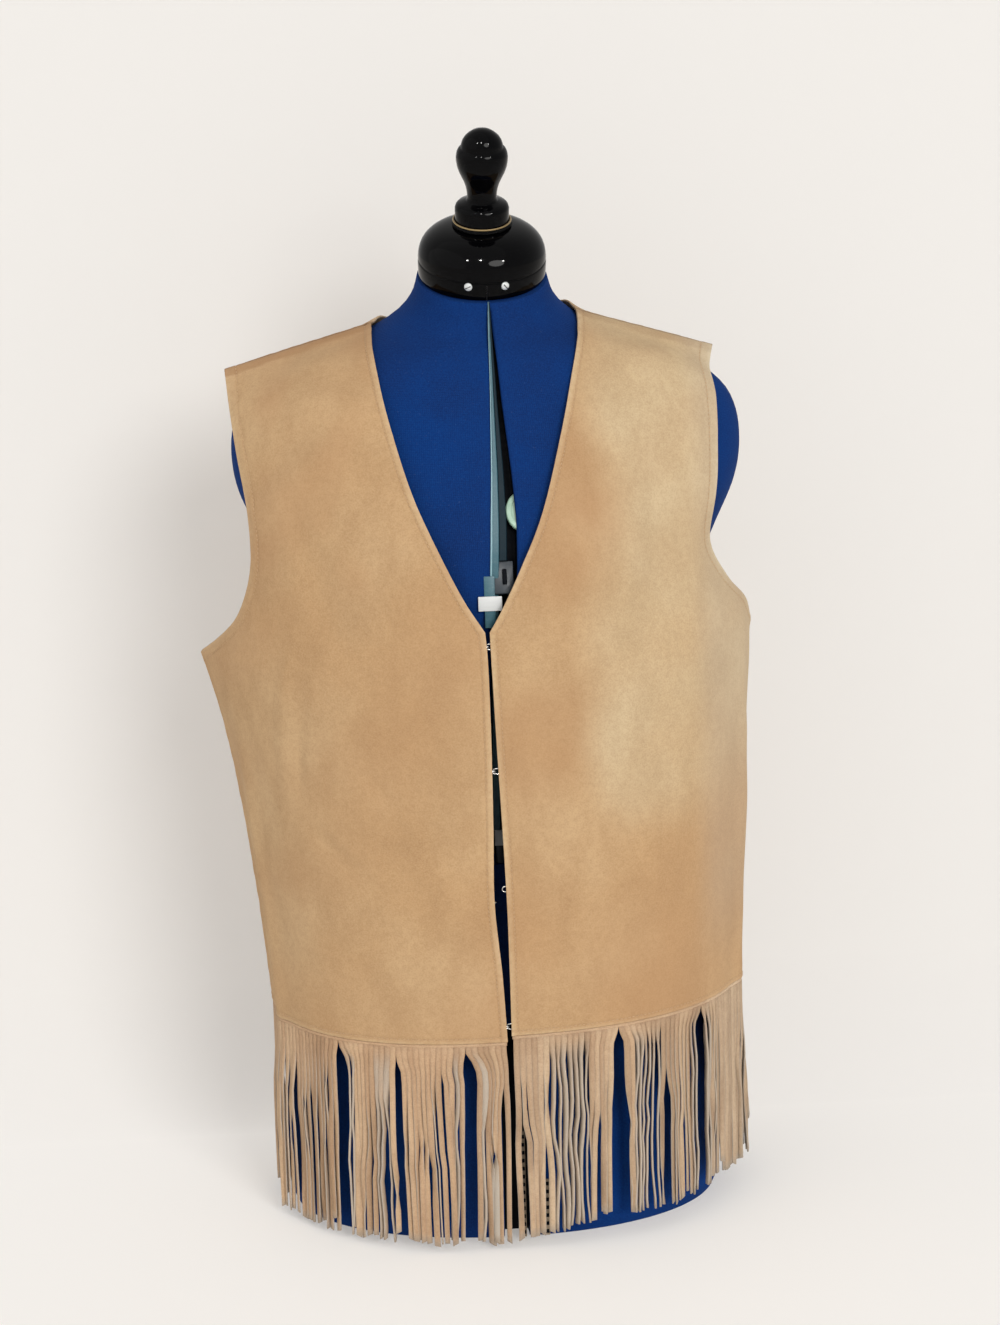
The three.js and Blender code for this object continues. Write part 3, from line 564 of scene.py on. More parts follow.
@dataclass(frozen=True)
class SuedeFinish:
    """Split suede with its nap, sewn and cut: worn light on edges and paler where it is cut."""

    name: str
    base: Tri
    light: Tri
    dark: Tri
    cut: Tri = (172, 166, 156)
    rub: Tri = (206, 183, 149)
    warm: Tri = (166, 126, 90)
    # Dark brown that the shade attribute mixes in: painted shade in grooves, at the shoulder seams and along strand
    # edges, and darker tone on the fringe.
    shade_and_tone: Tri = (92, 66, 46)
    fuzz: Tri = (235, 214, 186)
    # The tint that the pale attribute multiplies in: painted nap sheen on the panels, greyer tone on the fringe.
    pale: Tri = (1.11, 1.28, 1.46)
    depth: float = 1.0
    bump: float = 0.3
    sheen: float = 0.12

    def make(self) -> Material:
        """The material, which reads the attributes worn, warm, pale, shade and cut: pale is painted nap sheen on the
        panels and greyer tone on the fringe, and shade is painted shade and darker tone on the fringe.
        """
        made, g, shader, place = new_material(self.name)
        tones = {"Base": linear(self.base), "Light": linear(self.light), "Dark": linear(self.dark)}
        nap = g.add("Group", {"Place": place, **tones, "Depth": self.depth}, node_tree=GROUPS["nap"])
        rubbed = g.math("MULTIPLY", g.attribute("worn"), g.spread(g.noise(place, 240, 3), 0.3, 0.6, 0.35, 1.0))
        color = g.mix(rubbed, nap.outputs["Color"], linear(self.rub))
        color = g.stain(g.attribute("warm"), 0.6, color, linear(self.warm))
        color = g.mix(g.attribute("pale"), color, (*self.pale, 1.0), "MULTIPLY")
        color = g.mix(g.attribute("shade"), color, linear(self.shade_and_tone))
        fuzz = g.spread(g.noise(place, 1400, 2), 0.35, 0.65, 0.75, 1.0)
        color = g.mix(g.math("MULTIPLY", g.attribute("cut"), fuzz), color, linear(self.cut))
        g.feed(shader, {
            "Base Color": color, "Roughness": nap.outputs["Roughness"],
            "Normal": g.bump(self.bump, 0.0006, nap.outputs["Height"]), "Specular IOR Level": 0.12,
            "Sheen Weight": self.sheen, "Sheen Roughness": 0.45, "Sheen Tint": linear(self.fuzz)})
        return made


@dataclass(frozen=True)
class WovenFinish:
    """Plain woven cloth, drawn over the form: a fine weave on the piece's own map, with a little lint."""

    name: str
    base: Tri
    light: Tri
    dark: Tri
    lint: Tri = (110, 130, 160)
    fuzz: Tri = (120, 150, 205)
    threads: float = 1500.0

    def make(self) -> Material:
        """The material."""
        made, g, shader, place = new_material(self.name)
        flat = g.add("TexCoord").outputs["UV"]
        thread = {"Vector": flat, "Scale": self.threads / 6.2832, "Distortion": 0.6, "Detail": 1.0}
        across, up = (g.add("TexWave", thread, bands_direction=way).outputs["Fac"] for way in "XY")
        weave = g.math("MULTIPLY", across, up)
        clouds = g.noise(place, 14, 3, 0.5)
        lint = g.spread(g.noise(place, 520, 2), 0.66, 0.8)
        color = g.mix(g.spread(clouds, 0.35, 0.65), linear(self.dark), linear(self.base))
        grain = g.noise(place, 800, 2, 0.7)
        color = g.stain(weave, 0.3, color, linear(self.light))
        color = g.mix(g.spread(grain, 0.35, 0.7, 0.0, 0.4), color, linear(self.light))
        color = g.mix(g.spread(grain, 0.6, 0.3, 0.0, 0.3), color, linear(self.dark))
        color = g.stain(lint, 0.1, color, linear(self.lint))
        g.feed(shader, {
            "Base Color": color, "Roughness": g.spread(clouds, 0.3, 0.7, 0.82, 0.92),
            "Normal": g.bump(0.2, 0.0003, weave), "Specular IOR Level": 0.08,
            "Sheen Weight": 0.02, "Sheen Roughness": 0.4, "Sheen Tint": linear(self.fuzz)})
        return made


@dataclass(frozen=True)
class HardFinish:
    """A hard piece: moulded plastic, plated metal or paint, with handling marks."""

    name: str
    base: Tri
    dust: Tri = (120, 120, 120)
    amount: float = 0.06
    low: float = 0.1
    high: float = 0.3
    metal: float = 0.0
    specular: float = 0.5
    bump: float = 0.02

    def make(self) -> Material:
        """The material."""
        made, g, shader, place = new_material(self.name)
        look = {"Base": linear(self.base), "Dust": linear(self.dust), "Amount": self.amount}
        shine = {"Low": self.low, "High": self.high}
        marks = g.add("Group", {"Place": place, **look, **shine}, node_tree=GROUPS["scuff"]).outputs
        g.feed(shader, {
            "Base Color": marks["Color"], "Roughness": marks["Roughness"],
            "Normal": g.bump(self.bump, 0.0003, marks["Height"]),
            "Metallic": self.metal, "Specular IOR Level": self.specular})
        return made


@dataclass(frozen=True)
class ThreadFinish:
    """Sewing thread, twisted fine."""

    name: str
    base: Tri
    light: Tri

    def make(self) -> Material:
        """The material."""
        made, g, shader, place = new_material(self.name)
        ply = g.noise(place, 2600, 2, 0.6)
        color = g.mix(g.spread(ply, 0.35, 0.65), linear(self.base), linear(self.light))
        g.feed(shader, {"Base Color": color, "Roughness": 0.7, "Normal": g.bump(0.4, 0.0002, ply)})
        return made


SUEDE = SuedeFinish("Tan suede", (179, 145, 106), (195, 168, 131), (146, 113, 80)).make()
FRINGE = SuedeFinish("Cut suede fringe", (188, 154, 121), (203, 174, 142), (142, 110, 84), depth=1.3, bump=0.35).make()
THREAD = ThreadFinish("Tan thread", (164, 130, 94), (190, 160, 122)).make()
NAVY = WovenFinish("Navy woven cloth", (3, 44, 103), (12, 60, 124), (3, 33, 84)).make()
# Near-black for painted shade: inside the slot, in slits and on the rack's teeth.
SHADE_BLACK = HardFinish("Near-black painted shade", (6, 9, 16), (40, 46, 56), 0.05, 0.6, 0.8, specular=0.06).make()
RAIL = HardFinish("Grey-teal rail", (52, 92, 104), (120, 146, 152), 0.2, 0.35, 0.5, specular=0.3).make()
# Darker and lighter copies of the rail's plastic: painted shade over its right part and a painted highlight on its lip.
SHADED_RAIL = HardFinish("Rail in shade", (10, 32, 42), (50, 74, 84), 0.12, 0.45, 0.6, specular=0.1).make()
HIGHLIGHT_LIP = HardFinish("Rail lip with painted highlight", (126, 162, 172), (180, 196, 200), 0.2, 0.35, 0.5, specular=0.3).make()
GLOSS = HardFinish("Black gloss", (3, 3, 4), (50, 50, 52), 0.012, 0.04, 0.09, specular=0.08, bump=0.01).make()
RIM = HardFinish("Black satin", (6, 6, 8), (40, 40, 42), 0.03, 0.25, 0.4, specular=0.15).make()
STEEL = HardFinish("Plated steel", (206, 206, 204), (120, 110, 100), 0.1, 0.16, 0.34, metal=1.0).make()
NICKEL = HardFinish("Bright screw", (214, 218, 218), (150, 150, 148), 0.1, 0.3, 0.45, metal=0.4).make()
GOLD = HardFinish("Gilt ring", (158, 136, 96), (90, 76, 50), 0.2, 0.25, 0.4, metal=0.7).make()
DIAL = HardFinish("Pale green plastic", (150, 182, 160), (100, 126, 108), 0.2, 0.3, 0.45, specular=0.3).make()
BLOCK = HardFinish("Grey plastic", (40, 48, 56), (80, 88, 94), 0.12, 0.3, 0.5, specular=0.3).make()
RACK = HardFinish("Dull rack", (150, 134, 114), (110, 98, 84), 0.2, 0.5, 0.7, specular=0.2).make()
TAB = HardFinish("White tab", (206, 208, 208), (150, 150, 148), 0.12, 0.4, 0.6, specular=0.3).make()


# ---- dress form


@dataclass(frozen=True)
class FormShape:
    """The torso's level rings, each its height, half width, front depth, back depth and tilt."""

    rings: tuple[tuple[float, float, float, float, float], ...] = (
        (0, 184, 119, 108, 0), (14, 189, 123, 113, 0), (90, 190, 123, 120, 0), (160, 186, 118, 121, 0),
        (240, 168, 107, 108, 0), (320, 140, 95, 90, 0), (390, 142, 104, 90, 0), (460, 153, 122, 98, 0),
        (530, 166, 137, 105, 0), (582, 188, 135, 109, 0), (625, 207, 121, 110, 0), (662, 211, 104, 107, 0),
        (692, 203, 90, 101, 0), (712, 184, 81, 94, 0), (727, 158, 74, 87, 0.02), (741, 120, 67, 79, 0.06),
        (752, 91, 61, 70, 0.13), (763, 71, 57, 63, 0.22), (776, 59, 54, 57, 0.32), (794, 53, 52, 53, 0.364),
    )
    square: float = 0.94

    def ring_at(self, z: Array) -> Array:
        """Half width, depths and tilt at each height, N x 4."""
        rows = np.array(self.rings, float)
        last = len(rows) - 1
        i = np.clip(np.searchsorted(rows[:, 0], z, side="right") - 1, 0, last - 1)
        span = (rows[i + 1, 0] - rows[i, 0])[:, None]
        t = np.clip((z - rows[i, 0])[:, None] / span, 0, 1)

        def slope(k: Array) -> Array:
            """Rise of each column over the span."""
            before, after = rows[np.maximum(0, k - 1)], rows[np.minimum(last, k + 1)]
            return (after[:, 1:] - before[:, 1:]) / (after[:, :1] - before[:, :1]) * span

        return hermite(rows[i, 1:], rows[i + 1, 1:], slope(i), slope(i + 1), t)

    def level(self, z: float) -> Array:
        """Half width, depths and tilt at one height."""
        return self.ring_at(np.array([z]))[0]

    def share(self, p: Array) -> Array:
        """How far out each point lies, as a share of its ring: 1 is on the surface."""
        tilt = self.ring_at(p[:, 2])[:, 3]
        ring = self.ring_at(p[:, 2] - p[:, 1] * tilt)
        power = 2 / self.square
        depth = np.where(p[:, 1] < 0, ring[:, 1], ring[:, 2])
        return (np.abs(p[:, 0] / ring[:, 0]) ** power + np.abs(p[:, 1] / depth) ** power) ** (1 / power)

    def rest(self, p: Array, least: float, softness: float = 2.5, reach: float = 20.0) -> Array:
        """Points moved out to where suede that lies on the form has to be.

        Args:
            p: N x 3 points.
            least: Least distance from the form's surface.
            softness: How gently the suede rises from it.
            reach: Suede further out than this hangs free.

        Returns:
            The moved points.
        """
        point = p.copy()
        for turn in range(3):
            here = self.share(point)
            slope = np.stack([self.share(point + step) - here for step in np.eye(3)], 1)
            steep = np.linalg.norm(slope, axis=1)
            distance = (here - 1) / steep
            eased = (distance + least + np.hypot(distance - least, softness)) / 2
            move = eased - distance if turn == 0 else np.maximum(0, least - distance)
            move = np.where(distance > least + reach, 0, move)
            point = point + slope / steep[:, None] * move[:, None]
        return point

    def place(self, angle: Array, z: float) -> Array:
        """Points of the ring whose centre is at z, at angles from the front towards +X."""
        half, front, back, tilt = self.level(z)
        s, c = np.sin(angle), np.cos(angle)
        x = half * np.sign(s) * np.abs(s) ** self.square
        y = -np.where(c > 0, front, back) * np.sign(c) * np.abs(c) ** self.square
        return np.stack([x, y, z + y * tilt], 1)

    def front_y(self, x: float, z: float) -> float:
        """Depth of the front surface at a place."""
        return float(self.place(np.array([self.angle_of(x, z)]), z)[0, 1])

    def angle_of(self, x: float, z: float) -> float:
        """The angle from the front at which the ring at z passes x."""
        return math.copysign(math.asin((abs(x) / self.level(z)[0]) ** (1 / self.square)), x)


FORM = FormShape()
# Points on the slot's walls and floor in each ring of the torso, and the radius in metres that spreads its map.
WALL_POINTS = 5
MEAN_RADIUS = 0.17


@dataclass
class DressForm:
    """The adjustable form: cloth-covered torso with its slot, the slot's fittings, neck cap and finial."""

    columns: int = 132
    step: float = 6.0
    slot_depth: float = 13.0
    half_depth: float = 0.45
    run_out: float = 9.0
    slot_left: tuple[tuple[float, float], ...] = (
        (0, -10), (548, -10), (573, -9), (610, -7), (648, -4.5), (701, -2), (774, 0.5), (794, 1))
    slot_right: tuple[tuple[float, float], ...] = (
        (0, 11), (548, 11), (573, 12.5), (610, 13.5), (648, 11.5), (701, 7), (774, 3), (794, 2))
    covered: tuple[float, float] = (182.0, 324.0)
    cover: float = 0.88
    neck: float = 794.0
    tilt: float = 0.364
    clearance: float = 0.3

    def slot_edges(self, z: float) -> tuple[float, float]:
        """The slot's edges at a height, as x."""
        left = np.interp(z, *zip(*self.slot_left))
        right = np.interp(z, *zip(*self.slot_right))
        return float(left), float(right)

    def open_share(self, z: float) -> float:
        """How deep the slot is at a height, as a share: cloth covers it from the hip to the waist."""
        low, high = self.covered
        return float(1 - self.cover * ease((z - low) / 5) * ease((high - z) / 5))

    def torso(self) -> None:
        """The torso: rings of cloth that turn in at both sides of the front slot, and the slot's walls and floor."""
        heights = sorted({*np.arange(0, self.neck - 2, self.step), 1.5, 3.0, 787.0, 790.5, self.neck})
        lip = np.array([0.0, 0.7, 1.6, 3.0])
        fall = np.array([1.9, 0.8, 0.2, 0.0])
        points, uv = [], []
        for z in heights:
            left, right = self.slot_edges(z)
            half = FORM.level(z)[0]
            round_right, round_left = FORM.angle_of(right, z) + lip / half, FORM.angle_of(left, z) - lip / half
            rest = np.linspace(round_right[-1], 2 * math.pi + round_left[-1], self.columns + 2)[1:-1]
            angles = np.concatenate([round_right, rest, 2 * math.pi + round_left[::-1]])
            ring = FORM.place(angles, z)
            deep = float(ease((self.neck - 1 - z) / self.run_out)) * self.open_share(z)
            ring[: len(lip), 1] += fall * deep
            ring[-len(lip) :, 1] += fall[::-1] * deep
            first, last = ring[-1], ring[0]
            sunk, half_sunk = (np.array([0, self.slot_depth * share * deep, 0]) for share in (1, self.half_depth))
            floor = [first * (1 - s) + last * s + sunk for s in (0.02, 0.5, 0.98)]
            points.append(np.array([*ring, first + half_sunk, *floor, last + half_sunk]))
            around = np.concatenate([angles, np.full(WALL_POINTS, angles[-1])]) * MEAN_RADIUS
            uv.append(np.stack([around, np.full(len(around), z * MM)], 1))
        width = len(points[0])
        faces = tube_faces(len(points), width)
        low, high = self.covered
        # The slot's walls and floor take the near-black of painted shade, except where cloth covers the slot.
        walls = [0] * (width - WALL_POINTS - 1) + [1] * (WALL_POINTS + 1)
        recess = [wall * int(not low < z + 1 < high) for z in heights[:-1] for wall in walls] + [0, 0]
        piece = mesh_piece("form_cloth_torso", np.concatenate(points), faces, NAVY, uv=np.concatenate(uv))
        piece.data.materials.append(SHADE_BLACK)
        piece.data.polygons.foreach_set("material_index", recess)
        piece.data.polygons[-1].use_smooth = piece.data.polygons[-2].use_smooth = False
        pick(piece)
        bpy.ops.object.shade_smooth_by_angle(angle=math.radians(50))
        ride(piece)
        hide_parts("form_torso")

    def on_neck(self, piece: Piece, name: str, material: Material, angle: float = 30) -> None:
        """Stands a piece square on the neck's tilted plane.

        Args:
            piece: The piece, standing at the origin.
            name: Its name.
            material: Its material.
            angle: The sharpest edge that is shaded smooth, in degrees.
        """
        lean = math.atan(self.tilt)
        piece.rotation_euler = (lean, 0, 0)
        lift = Vector((0, -math.sin(lean), math.cos(lean))) * self.clearance * MM
        piece.location = PLACE.spot((0, 0, self.neck)) + lift
        settle(piece, name, material, angle)
        ride(piece)

    def cap(self) -> None:
        """The neck cap with its rim band, and the finial with its gilt ring."""
        profile = [(49.2, 0), (51.3, 0.5), (52, 1.8), (52.4, 5), (52.5, 13), (52.3, 14), (51.6, 14.6), (51.6, 15.4),
                   (52.3, 16), (52.4, 17.5), (52.0, 21), (51.2, 25), (49.6, 29), (47.2, 32.6), (44, 35.8), (39.8, 38.8),
                   (34.8, 41.2), (29, 43), (22, 44.3), (12, 44.9), (0, 45)]
        cap = turned(profile, 96)
        self.on_neck(cap, "form_cap", GLOSS)
        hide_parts("form_neck_cap")
        profile = [(24.5, 45.3), (24.5, 47.3), (23.6, 48.2), (22.1, 48.7), (22, 52), (22, 59), (21.2, 61.3),
                   (19.5, 63), (15.5, 64.3), (13, 65.4), (12.2, 67), (12, 69), (12.3, 73), (13.1, 77), (14.6, 81.5),
                   (16.7, 86), (18.8, 90.6), (20.2, 95), (20.9, 99.5), (20.9, 103), (20.2, 106.6), (19.2, 108.6),
                   (18.1, 109.8), (17.2, 110.2), (17, 110.9), (16.7, 113), (15.7, 116), (13.8, 119), (11, 121.6),
                   (7.5, 123.9), (3.5, 125.2), (0, 125.5)]
        finial = turned(profile, 72)
        self.on_neck(finial, "form_knob", GLOSS)
        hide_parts("form_finial")
        deselect()
        bpy.ops.mesh.primitive_torus_add(
            major_radius=0.0233, minor_radius=0.00075, major_segments=72, minor_segments=10, location=(0, 0, 0.0486))
        ring = bpy.context.active_object
        pick(ring)
        bpy.ops.object.transform_apply(location=True, rotation=True, scale=True)
        self.on_neck(ring, "form_gilt_ring", GOLD)

    def screws(self) -> None:
        """Two screws in the cap's rim, and the seam between its halves below them."""
        for label, across in (("right", -14.8), ("left", 14.8)):
            screw = turned([(3.1, 0), (3.3, 0.5), (3.3, 1.5), (2.9, 2.1), (1.9, 2.5), (0, 2.7)], 36)
            slit = rounded_box((5.0, 0.7, 0.5), 0.15, 1)
            slit.data.transform(Matrix.Translation((0, 0, 0.0025)))
            # The screw slits are near-black: painted shade.
            for piece, name, material in ((screw, "form_screw_", NICKEL), (slit, "form_screw_slit_", SHADE_BLACK)):
                piece.data.transform(Matrix.Rotation(0.5 if across < 0 else -0.9, 4, "Z"))
                piece.data.transform(Matrix.Translation((0, 0, 0.0512)))
                piece.data.transform(Euler((math.pi / 2, 0, math.atan2(across, 50))).to_matrix().to_4x4())
                piece.data.transform(Matrix.Translation((0, 0, 0.012)))
                self.on_neck(piece, name + label, material)
        seam = rounded_box((1.2, 1.0, 12.6), 0.3, 1)
        seam.data.transform(Matrix.Translation((0, -0.0526, 0.0072)))
        self.on_neck(seam, "form_cap_seam", RIM)

    def strip_along(self, name: str, material: Material, across: tuple[float, float], deep: float,
                    thick: float, low: float, high: float) -> None:
        """A moulded strip that runs up inside the slot.

        Args:
            name: Its name.
            material: Its material.
            across: Its two edges, as shares of the slot's width from the right edge to the left.
            deep: How far its face lies below the form's surface.
            thick: Its thickness.
            low: Height of its foot.
            high: Height of its head.
        """
        points = []
        heights = np.linspace(low, high, int((high - low) / 8) + 2)
        for z in heights:
            left, right = self.slot_edges(float(z))
            y = FORM.front_y((left + right) / 2, float(z)) + deep
            a, b = left + (right - left) * across[0], left + (right - left) * across[1]
            soft = min(0.6, (b - a) / 4)
            for x, d in ((a, soft), (a + soft, 0), (b - soft, 0), (b, soft), (b, thick), (a, thick)):
                points.append((x, y + d, z))
        piece = mesh_piece(name, np.array(points), tube_faces(len(heights), 6), material, smooth=False)
        ride(piece)

    def fittings(self) -> None:
        """The rail, dial, block and blank tabs in the slot, and the toothed racks at its foot."""
        # The rail is three strips of one plastic: its own tone, a darker copy over its right part that is painted
        # shade, and a lighter raised lip on its left edge that is a painted highlight.
        self.strip_along("form_rail", RAIL, (0.05, 0.32), 1.6, 5, 348, 776)
        self.strip_along("form_rail_side", SHADED_RAIL, (0.32, 0.62), 2.6, 5, 580, 776)
        self.strip_along("form_rail_lip_highlight", HIGHLIGHT_LIP, (0.0, 0.07), 0.6, 5, 540, 776)
        tilt = math.atan2(FORM.front_y(0, 630) - FORM.front_y(0, 600), 30)
        profile = [(17, 0), (18, 0.7), (18, 3.4), (17.2, 4.2), (14, 4.4), (13.4, 3.9), (8, 3.9), (7.4, 4.6), (0, 4.8)]
        dial = turned(profile, 72)
        self.seat(dial, "form_dial", DIAL, (23.6, FORM.front_y(2, 612) + 11.0, 615), tilt * 1.3)
        deep = FORM.front_y(1, 566)
        # The block's slit is near-black: painted shade.
        for name, material, size, bevel, segments, spot, lean in (
            ("form_block", BLOCK, (15.5, 5, 26), 0.8, 2, (1.6, deep + 4.2, 566), tilt),
            ("form_block_slit", SHADE_BLACK, (3.6, 1.2, 12.5), 1.1, 3, (2.2, deep + 1.5, 567.5), tilt),
            ("form_rail_foot", RAIL, (8.6, 1.2, 41), 0.5, 2, (-10.2, FORM.front_y(-10, 548) - 0.9, 548), tilt * 0.3),
            ("form_tab", TAB, (19, 1.0, 11.6), 0.45, 2, (-10.0, FORM.front_y(-10, 547) - 2.2, 547), tilt * 0.3),
            ("form_lower_tab", TAB, (7.2, 1.0, 13.4), 0.45, 2, (-4.6, FORM.front_y(-4, 342) + 0.4, 342), 0),
            ("form_lower_stem", BLOCK, (6.0, 1.0, 16), 0.4, 2, (-4.2, FORM.front_y(-4, 328) + 1.2, 328), 0),
        ):
            self.seat(rounded_box(size, bevel, segments), name, material, spot, lean, flat=False)
        for label, x, top in (("middle", 4.8, 96.0), ("side", 24.6, 52.0)):
            self.rack(label, x, top)

    def seat(self, piece: Piece, name: str, material: Material, spot: Tri, tilt: float,
             flat: bool = True) -> None:
        """Puts a fitting in the slot, facing out.

        Args:
            piece: The fitting, at the origin.
            name: Its name.
            material: Its material.
            spot: Where its middle goes.
            tilt: How far the form leans back there, in radians.
            flat: Whether it was made lying down, as a turned piece is.
        """
        piece.rotation_euler = (math.pi / 2 - tilt if flat else -tilt, 0, 0)
        piece.location = PLACE.spot(spot)
        settle(piece, name, material)
        ride(piece)

    def rack(self, label: str, x: float, top: float) -> None:
        """A toothed rack low on the form's front: a bar, and one dark tooth copied up it. The teeth are near-black,
        painted shade.
        """
        foot, pitch = 2.0, 7.1
        count = int((top - foot - 3) / pitch) + 1
        spot = PLACE.spot((x, FORM.front_y(x, top / 2) - 0.6, (top + foot) / 2))
        bar = rounded_box((6.6, 1.8, top - foot), 0.3, 1)
        bar.location = spot
        settle(bar, "form_rack_" + label, RACK)
        tooth = rounded_box((5.4, 1.4, 3.1), 0.4, 2)
        pick(tooth)
        row = tooth.modifiers.new("row", "ARRAY")
        row.count, row.use_relative_offset, row.use_constant_offset = count, False, True
        row.constant_offset_displace = (0, 0, pitch * MM)
        bpy.ops.object.modifier_apply(modifier=row.name)
        tooth.location = spot + Vector((0, -0.0012, -(count - 1) * pitch * MM / 2))
        settle(tooth, "form_rack_teeth_" + label, SHADE_BLACK)
        ride(bar)
        ride(tooth)

    def build(self) -> None:
        """Builds the whole form."""
        self.torso()
        self.cap()
        self.screws()
        self.fittings()


# ---- suede panels


class Corner(Enum):
    """Where a row's edge has a corner."""

    NONE = "none"
    INNER = "inner"
    OUTER = "outer"


@dataclass(frozen=True)
class Row:
    """A section of a half panel, from its inner edge to its outer one, turning through an angle in degrees."""

    inner: Tri
    outer: Tri
    turn: float
    corner: Corner = Corner.NONE

    def outline(self) -> Array:
        """The section seen from above, N x 2."""
        turn = math.radians(self.turn)
        square = 1 + (0.86 - 1) * float(ease((self.turn - 45) / 40))
        angle = np.linspace(0, turn, 61)
        s = (np.sin(angle) / math.sin(turn)) ** square
        c = (1 - np.cos(angle) ** square) / (1 - math.cos(turn) ** square)
        a, b = self.inner, self.outer
        return np.stack([a[0] + (b[0] - a[0]) * s, a[1] + (b[1] - a[1]) * c], 1)

    def length(self) -> float:
        """The section's length."""
        return float(np.linalg.norm(np.diff(self.outline(), axis=0), axis=1).sum())

    def at(self, shares: Array) -> Array:
        """The section's points at shares of its length, N x 3."""
        line = self.outline()
        arcs = arcs_of(line)
        x, y = along_line(shares, arcs / arcs[-1], line).T
        return np.stack([x, y, self.inner[2] + (self.outer[2] - self.inner[2]) * shares], 1)


@dataclass(frozen=True)
class Fold:
    """A soft ridge or trough up a half panel: its shares across at foot and head, heights, rise and half width."""

    at: tuple[float, float]
    low: float
    high: float
    rise: float
    half: float


@dataclass(frozen=True)
class Crease:
    """A short crease along points of x and height: rise and half width in mm."""

    line: tuple[tuple[float, float], ...]
    rise: float
    half: float


def row(inner: Tri, outer: Tri, turn: float, corner: str = "none") -> Row:
    """A row of a table."""
    return Row(inner, outer, turn, Corner(corner))


def back_rows(inner: tuple[Tri, ...], outer: tuple[Tri, ...], turns: tuple[float, ...]) -> tuple[Row, ...]:
    """The rows of one half of the back, with its corners under the arm and at the neck.

    Args:
        inner: The inner edge's points.
        outer: The outer edge's points.
        turns: The angles the rows turn through.

    Returns:
        The rows.
    """
    corners = ["none"] * len(turns)
    corners[UNDERARM], corners[BACK_NECK] = "outer", "inner"
    return tuple(map(row, inner, outer, turns, corners))


# The rows of a half panel that its underarm corner and the back's neck corner lie on.
UNDERARM = 5
BACK_NECK = 11


FRONT_RIGHT = (
    row((-5, -143, 182), (-198, 8, 178), 88), row((-8, -145, 240), (-203, 8, 236), 86),
    row((-13, -147, 302), (-210, 8, 302), 84), row((-12.5, -149, 370), (-219, 8, 370), 80),
    row((-12.5, -151, 440), (-230, 7, 430), 74), row((-13.5, -152, 500), (-245, 6, 487), 68, "outer"),
    row((-15, -151, 526), (-226, -26, 507), 66, "inner"), row((-31, -149, 552), (-210, -48, 530), 60),
    row((-49, -142, 589), (-199, -62, 568), 54), row((-67, -124, 631), (-199, -62, 612), 50),
    row((-80, -101, 675), (-206, -46, 660), 42), row((-89, -74, 716), (-211, -24, 698), 30),
    row((-92, 0, 758), (-214, 4, 724), 10),
)
FRONT_LEFT = (
    row((-2, -143, 187), (209, 6, 194), 88), row((-2.5, -145, 240), (210.5, 6, 240), 88),
    row((-3.5, -147, 302), (212, 6, 302), 88), row((-6, -149, 370), (215, 6, 370), 88),
    row((-9, -151, 440), (218, 8, 434), 86), row((-11.2, -152, 500), (222, 9, 499), 84, "outer"),
    row((-12, -151, 526), (213, -20, 521), 76, "inner"), row((-1, -150, 545), (195, -42, 543), 66),
    row((14, -146, 575), (178, -58, 575), 56), row((32, -133, 613), (177, -62, 614), 50),
    row((47, -112, 658), (178, -51, 660), 42), row((63, -77, 714), (181, -29, 702), 30),
    row((76, 0, 764), (191, 4, 731), 10),
)
BACK_INNER = (
    (4, 137, 178), (3, 135, 238), (2, 133, 302), (0, 130, 370), (-2, 127, 435), (-3, 125, 493), (-4, 124, 525),
    (-5, 123, 560), (-6, 122, 602), (-7, 119, 648), (-8, 108, 698), (-9, 90, 742),
)
BACK_RIGHT = back_rows(
    BACK_INNER + ((-40, 84, 743), (-70, 60, 751), (-92, 0, 758)),
    ((-198, 8, 178), (-203, 8, 236), (-210, 8, 302), (-219, 8, 370), (-230, 7, 430), (-245, 6, 487), (-226, 36, 496),
     (-207, 60, 512), (-198, 72, 548), (-197, 72, 606), (-205, 56, 664), (-210, 34, 698), (-211.5, 26, 707),
     (-213, 17, 716), (-214, 4, 724)),
    (88, 86, 84, 80, 74, 68, 64, 56, 48, 42, 36, 30, 24, 18, 10),
)
BACK_LEFT = back_rows(
    BACK_INNER + ((22, 84, 745), (54, 60, 756), (76, 0, 764)),
    ((209, 6, 194), (210.5, 6, 240), (212, 6, 302), (215, 6, 370), (218, 8, 434), (222, 9, 499), (213, 38, 517),
     (197, 62, 543), (186, 74, 577), (182, 73, 622), (184, 57, 668), (188, 35, 704), (189, 26, 713), (190, 17, 722),
     (191, 4, 731)),
    (88, 88, 88, 88, 86, 84, 72, 60, 50, 42, 36, 30, 24, 18, 10),
)
# Millimetres: the wall, half the gap at a seam, the radii of a cut edge and of a seam, the panels' least distances from
# the form with and without their relief, how near two edges have to be to count as one, the spacing of the grids'
# rows, a stitch and its spacing, and how far from each edge its stitches run.
WALL = 2.0
HALF_GAP = 0.18
EDGE_ROUND = 0.95
SEAM_ROUND = 0.6
LEAST_GAP = 0.85
LOOSE_GAP = 1.2
SAME_PLACE = 0.2
ROW_STEP = 4.7
STITCH = 2.5
STITCH_STEP = 3.6
STITCH_ROWS = {"armhole": 10.0, "opening": 5.5, "hem": 4.2}
INNER_DISTANCES = np.array([0, 0.35, 0.8, 1.4, 2.4, 3.6, 4.6, 5.1, 5.6, 6.1, 7.2, 9, 12])
OUTER_DISTANCES = np.array([0, 0.35, 0.8, 1.4, 2.4, 4, 6.2, 8, 9.1, 9.7, 10.3, 11, 12.5, 15])
HEM_DISTANCES = np.array([0, 0.4, 0.9, 1.6, 2.6, 3.4, 4.2, 5, 6.4, 8.5])
TOP_DISTANCES = np.array([12, 9, 7, 5, 3.4, 2.2, 1.3, 0.7, 0.3])
MIDDLE_COLUMNS = 58


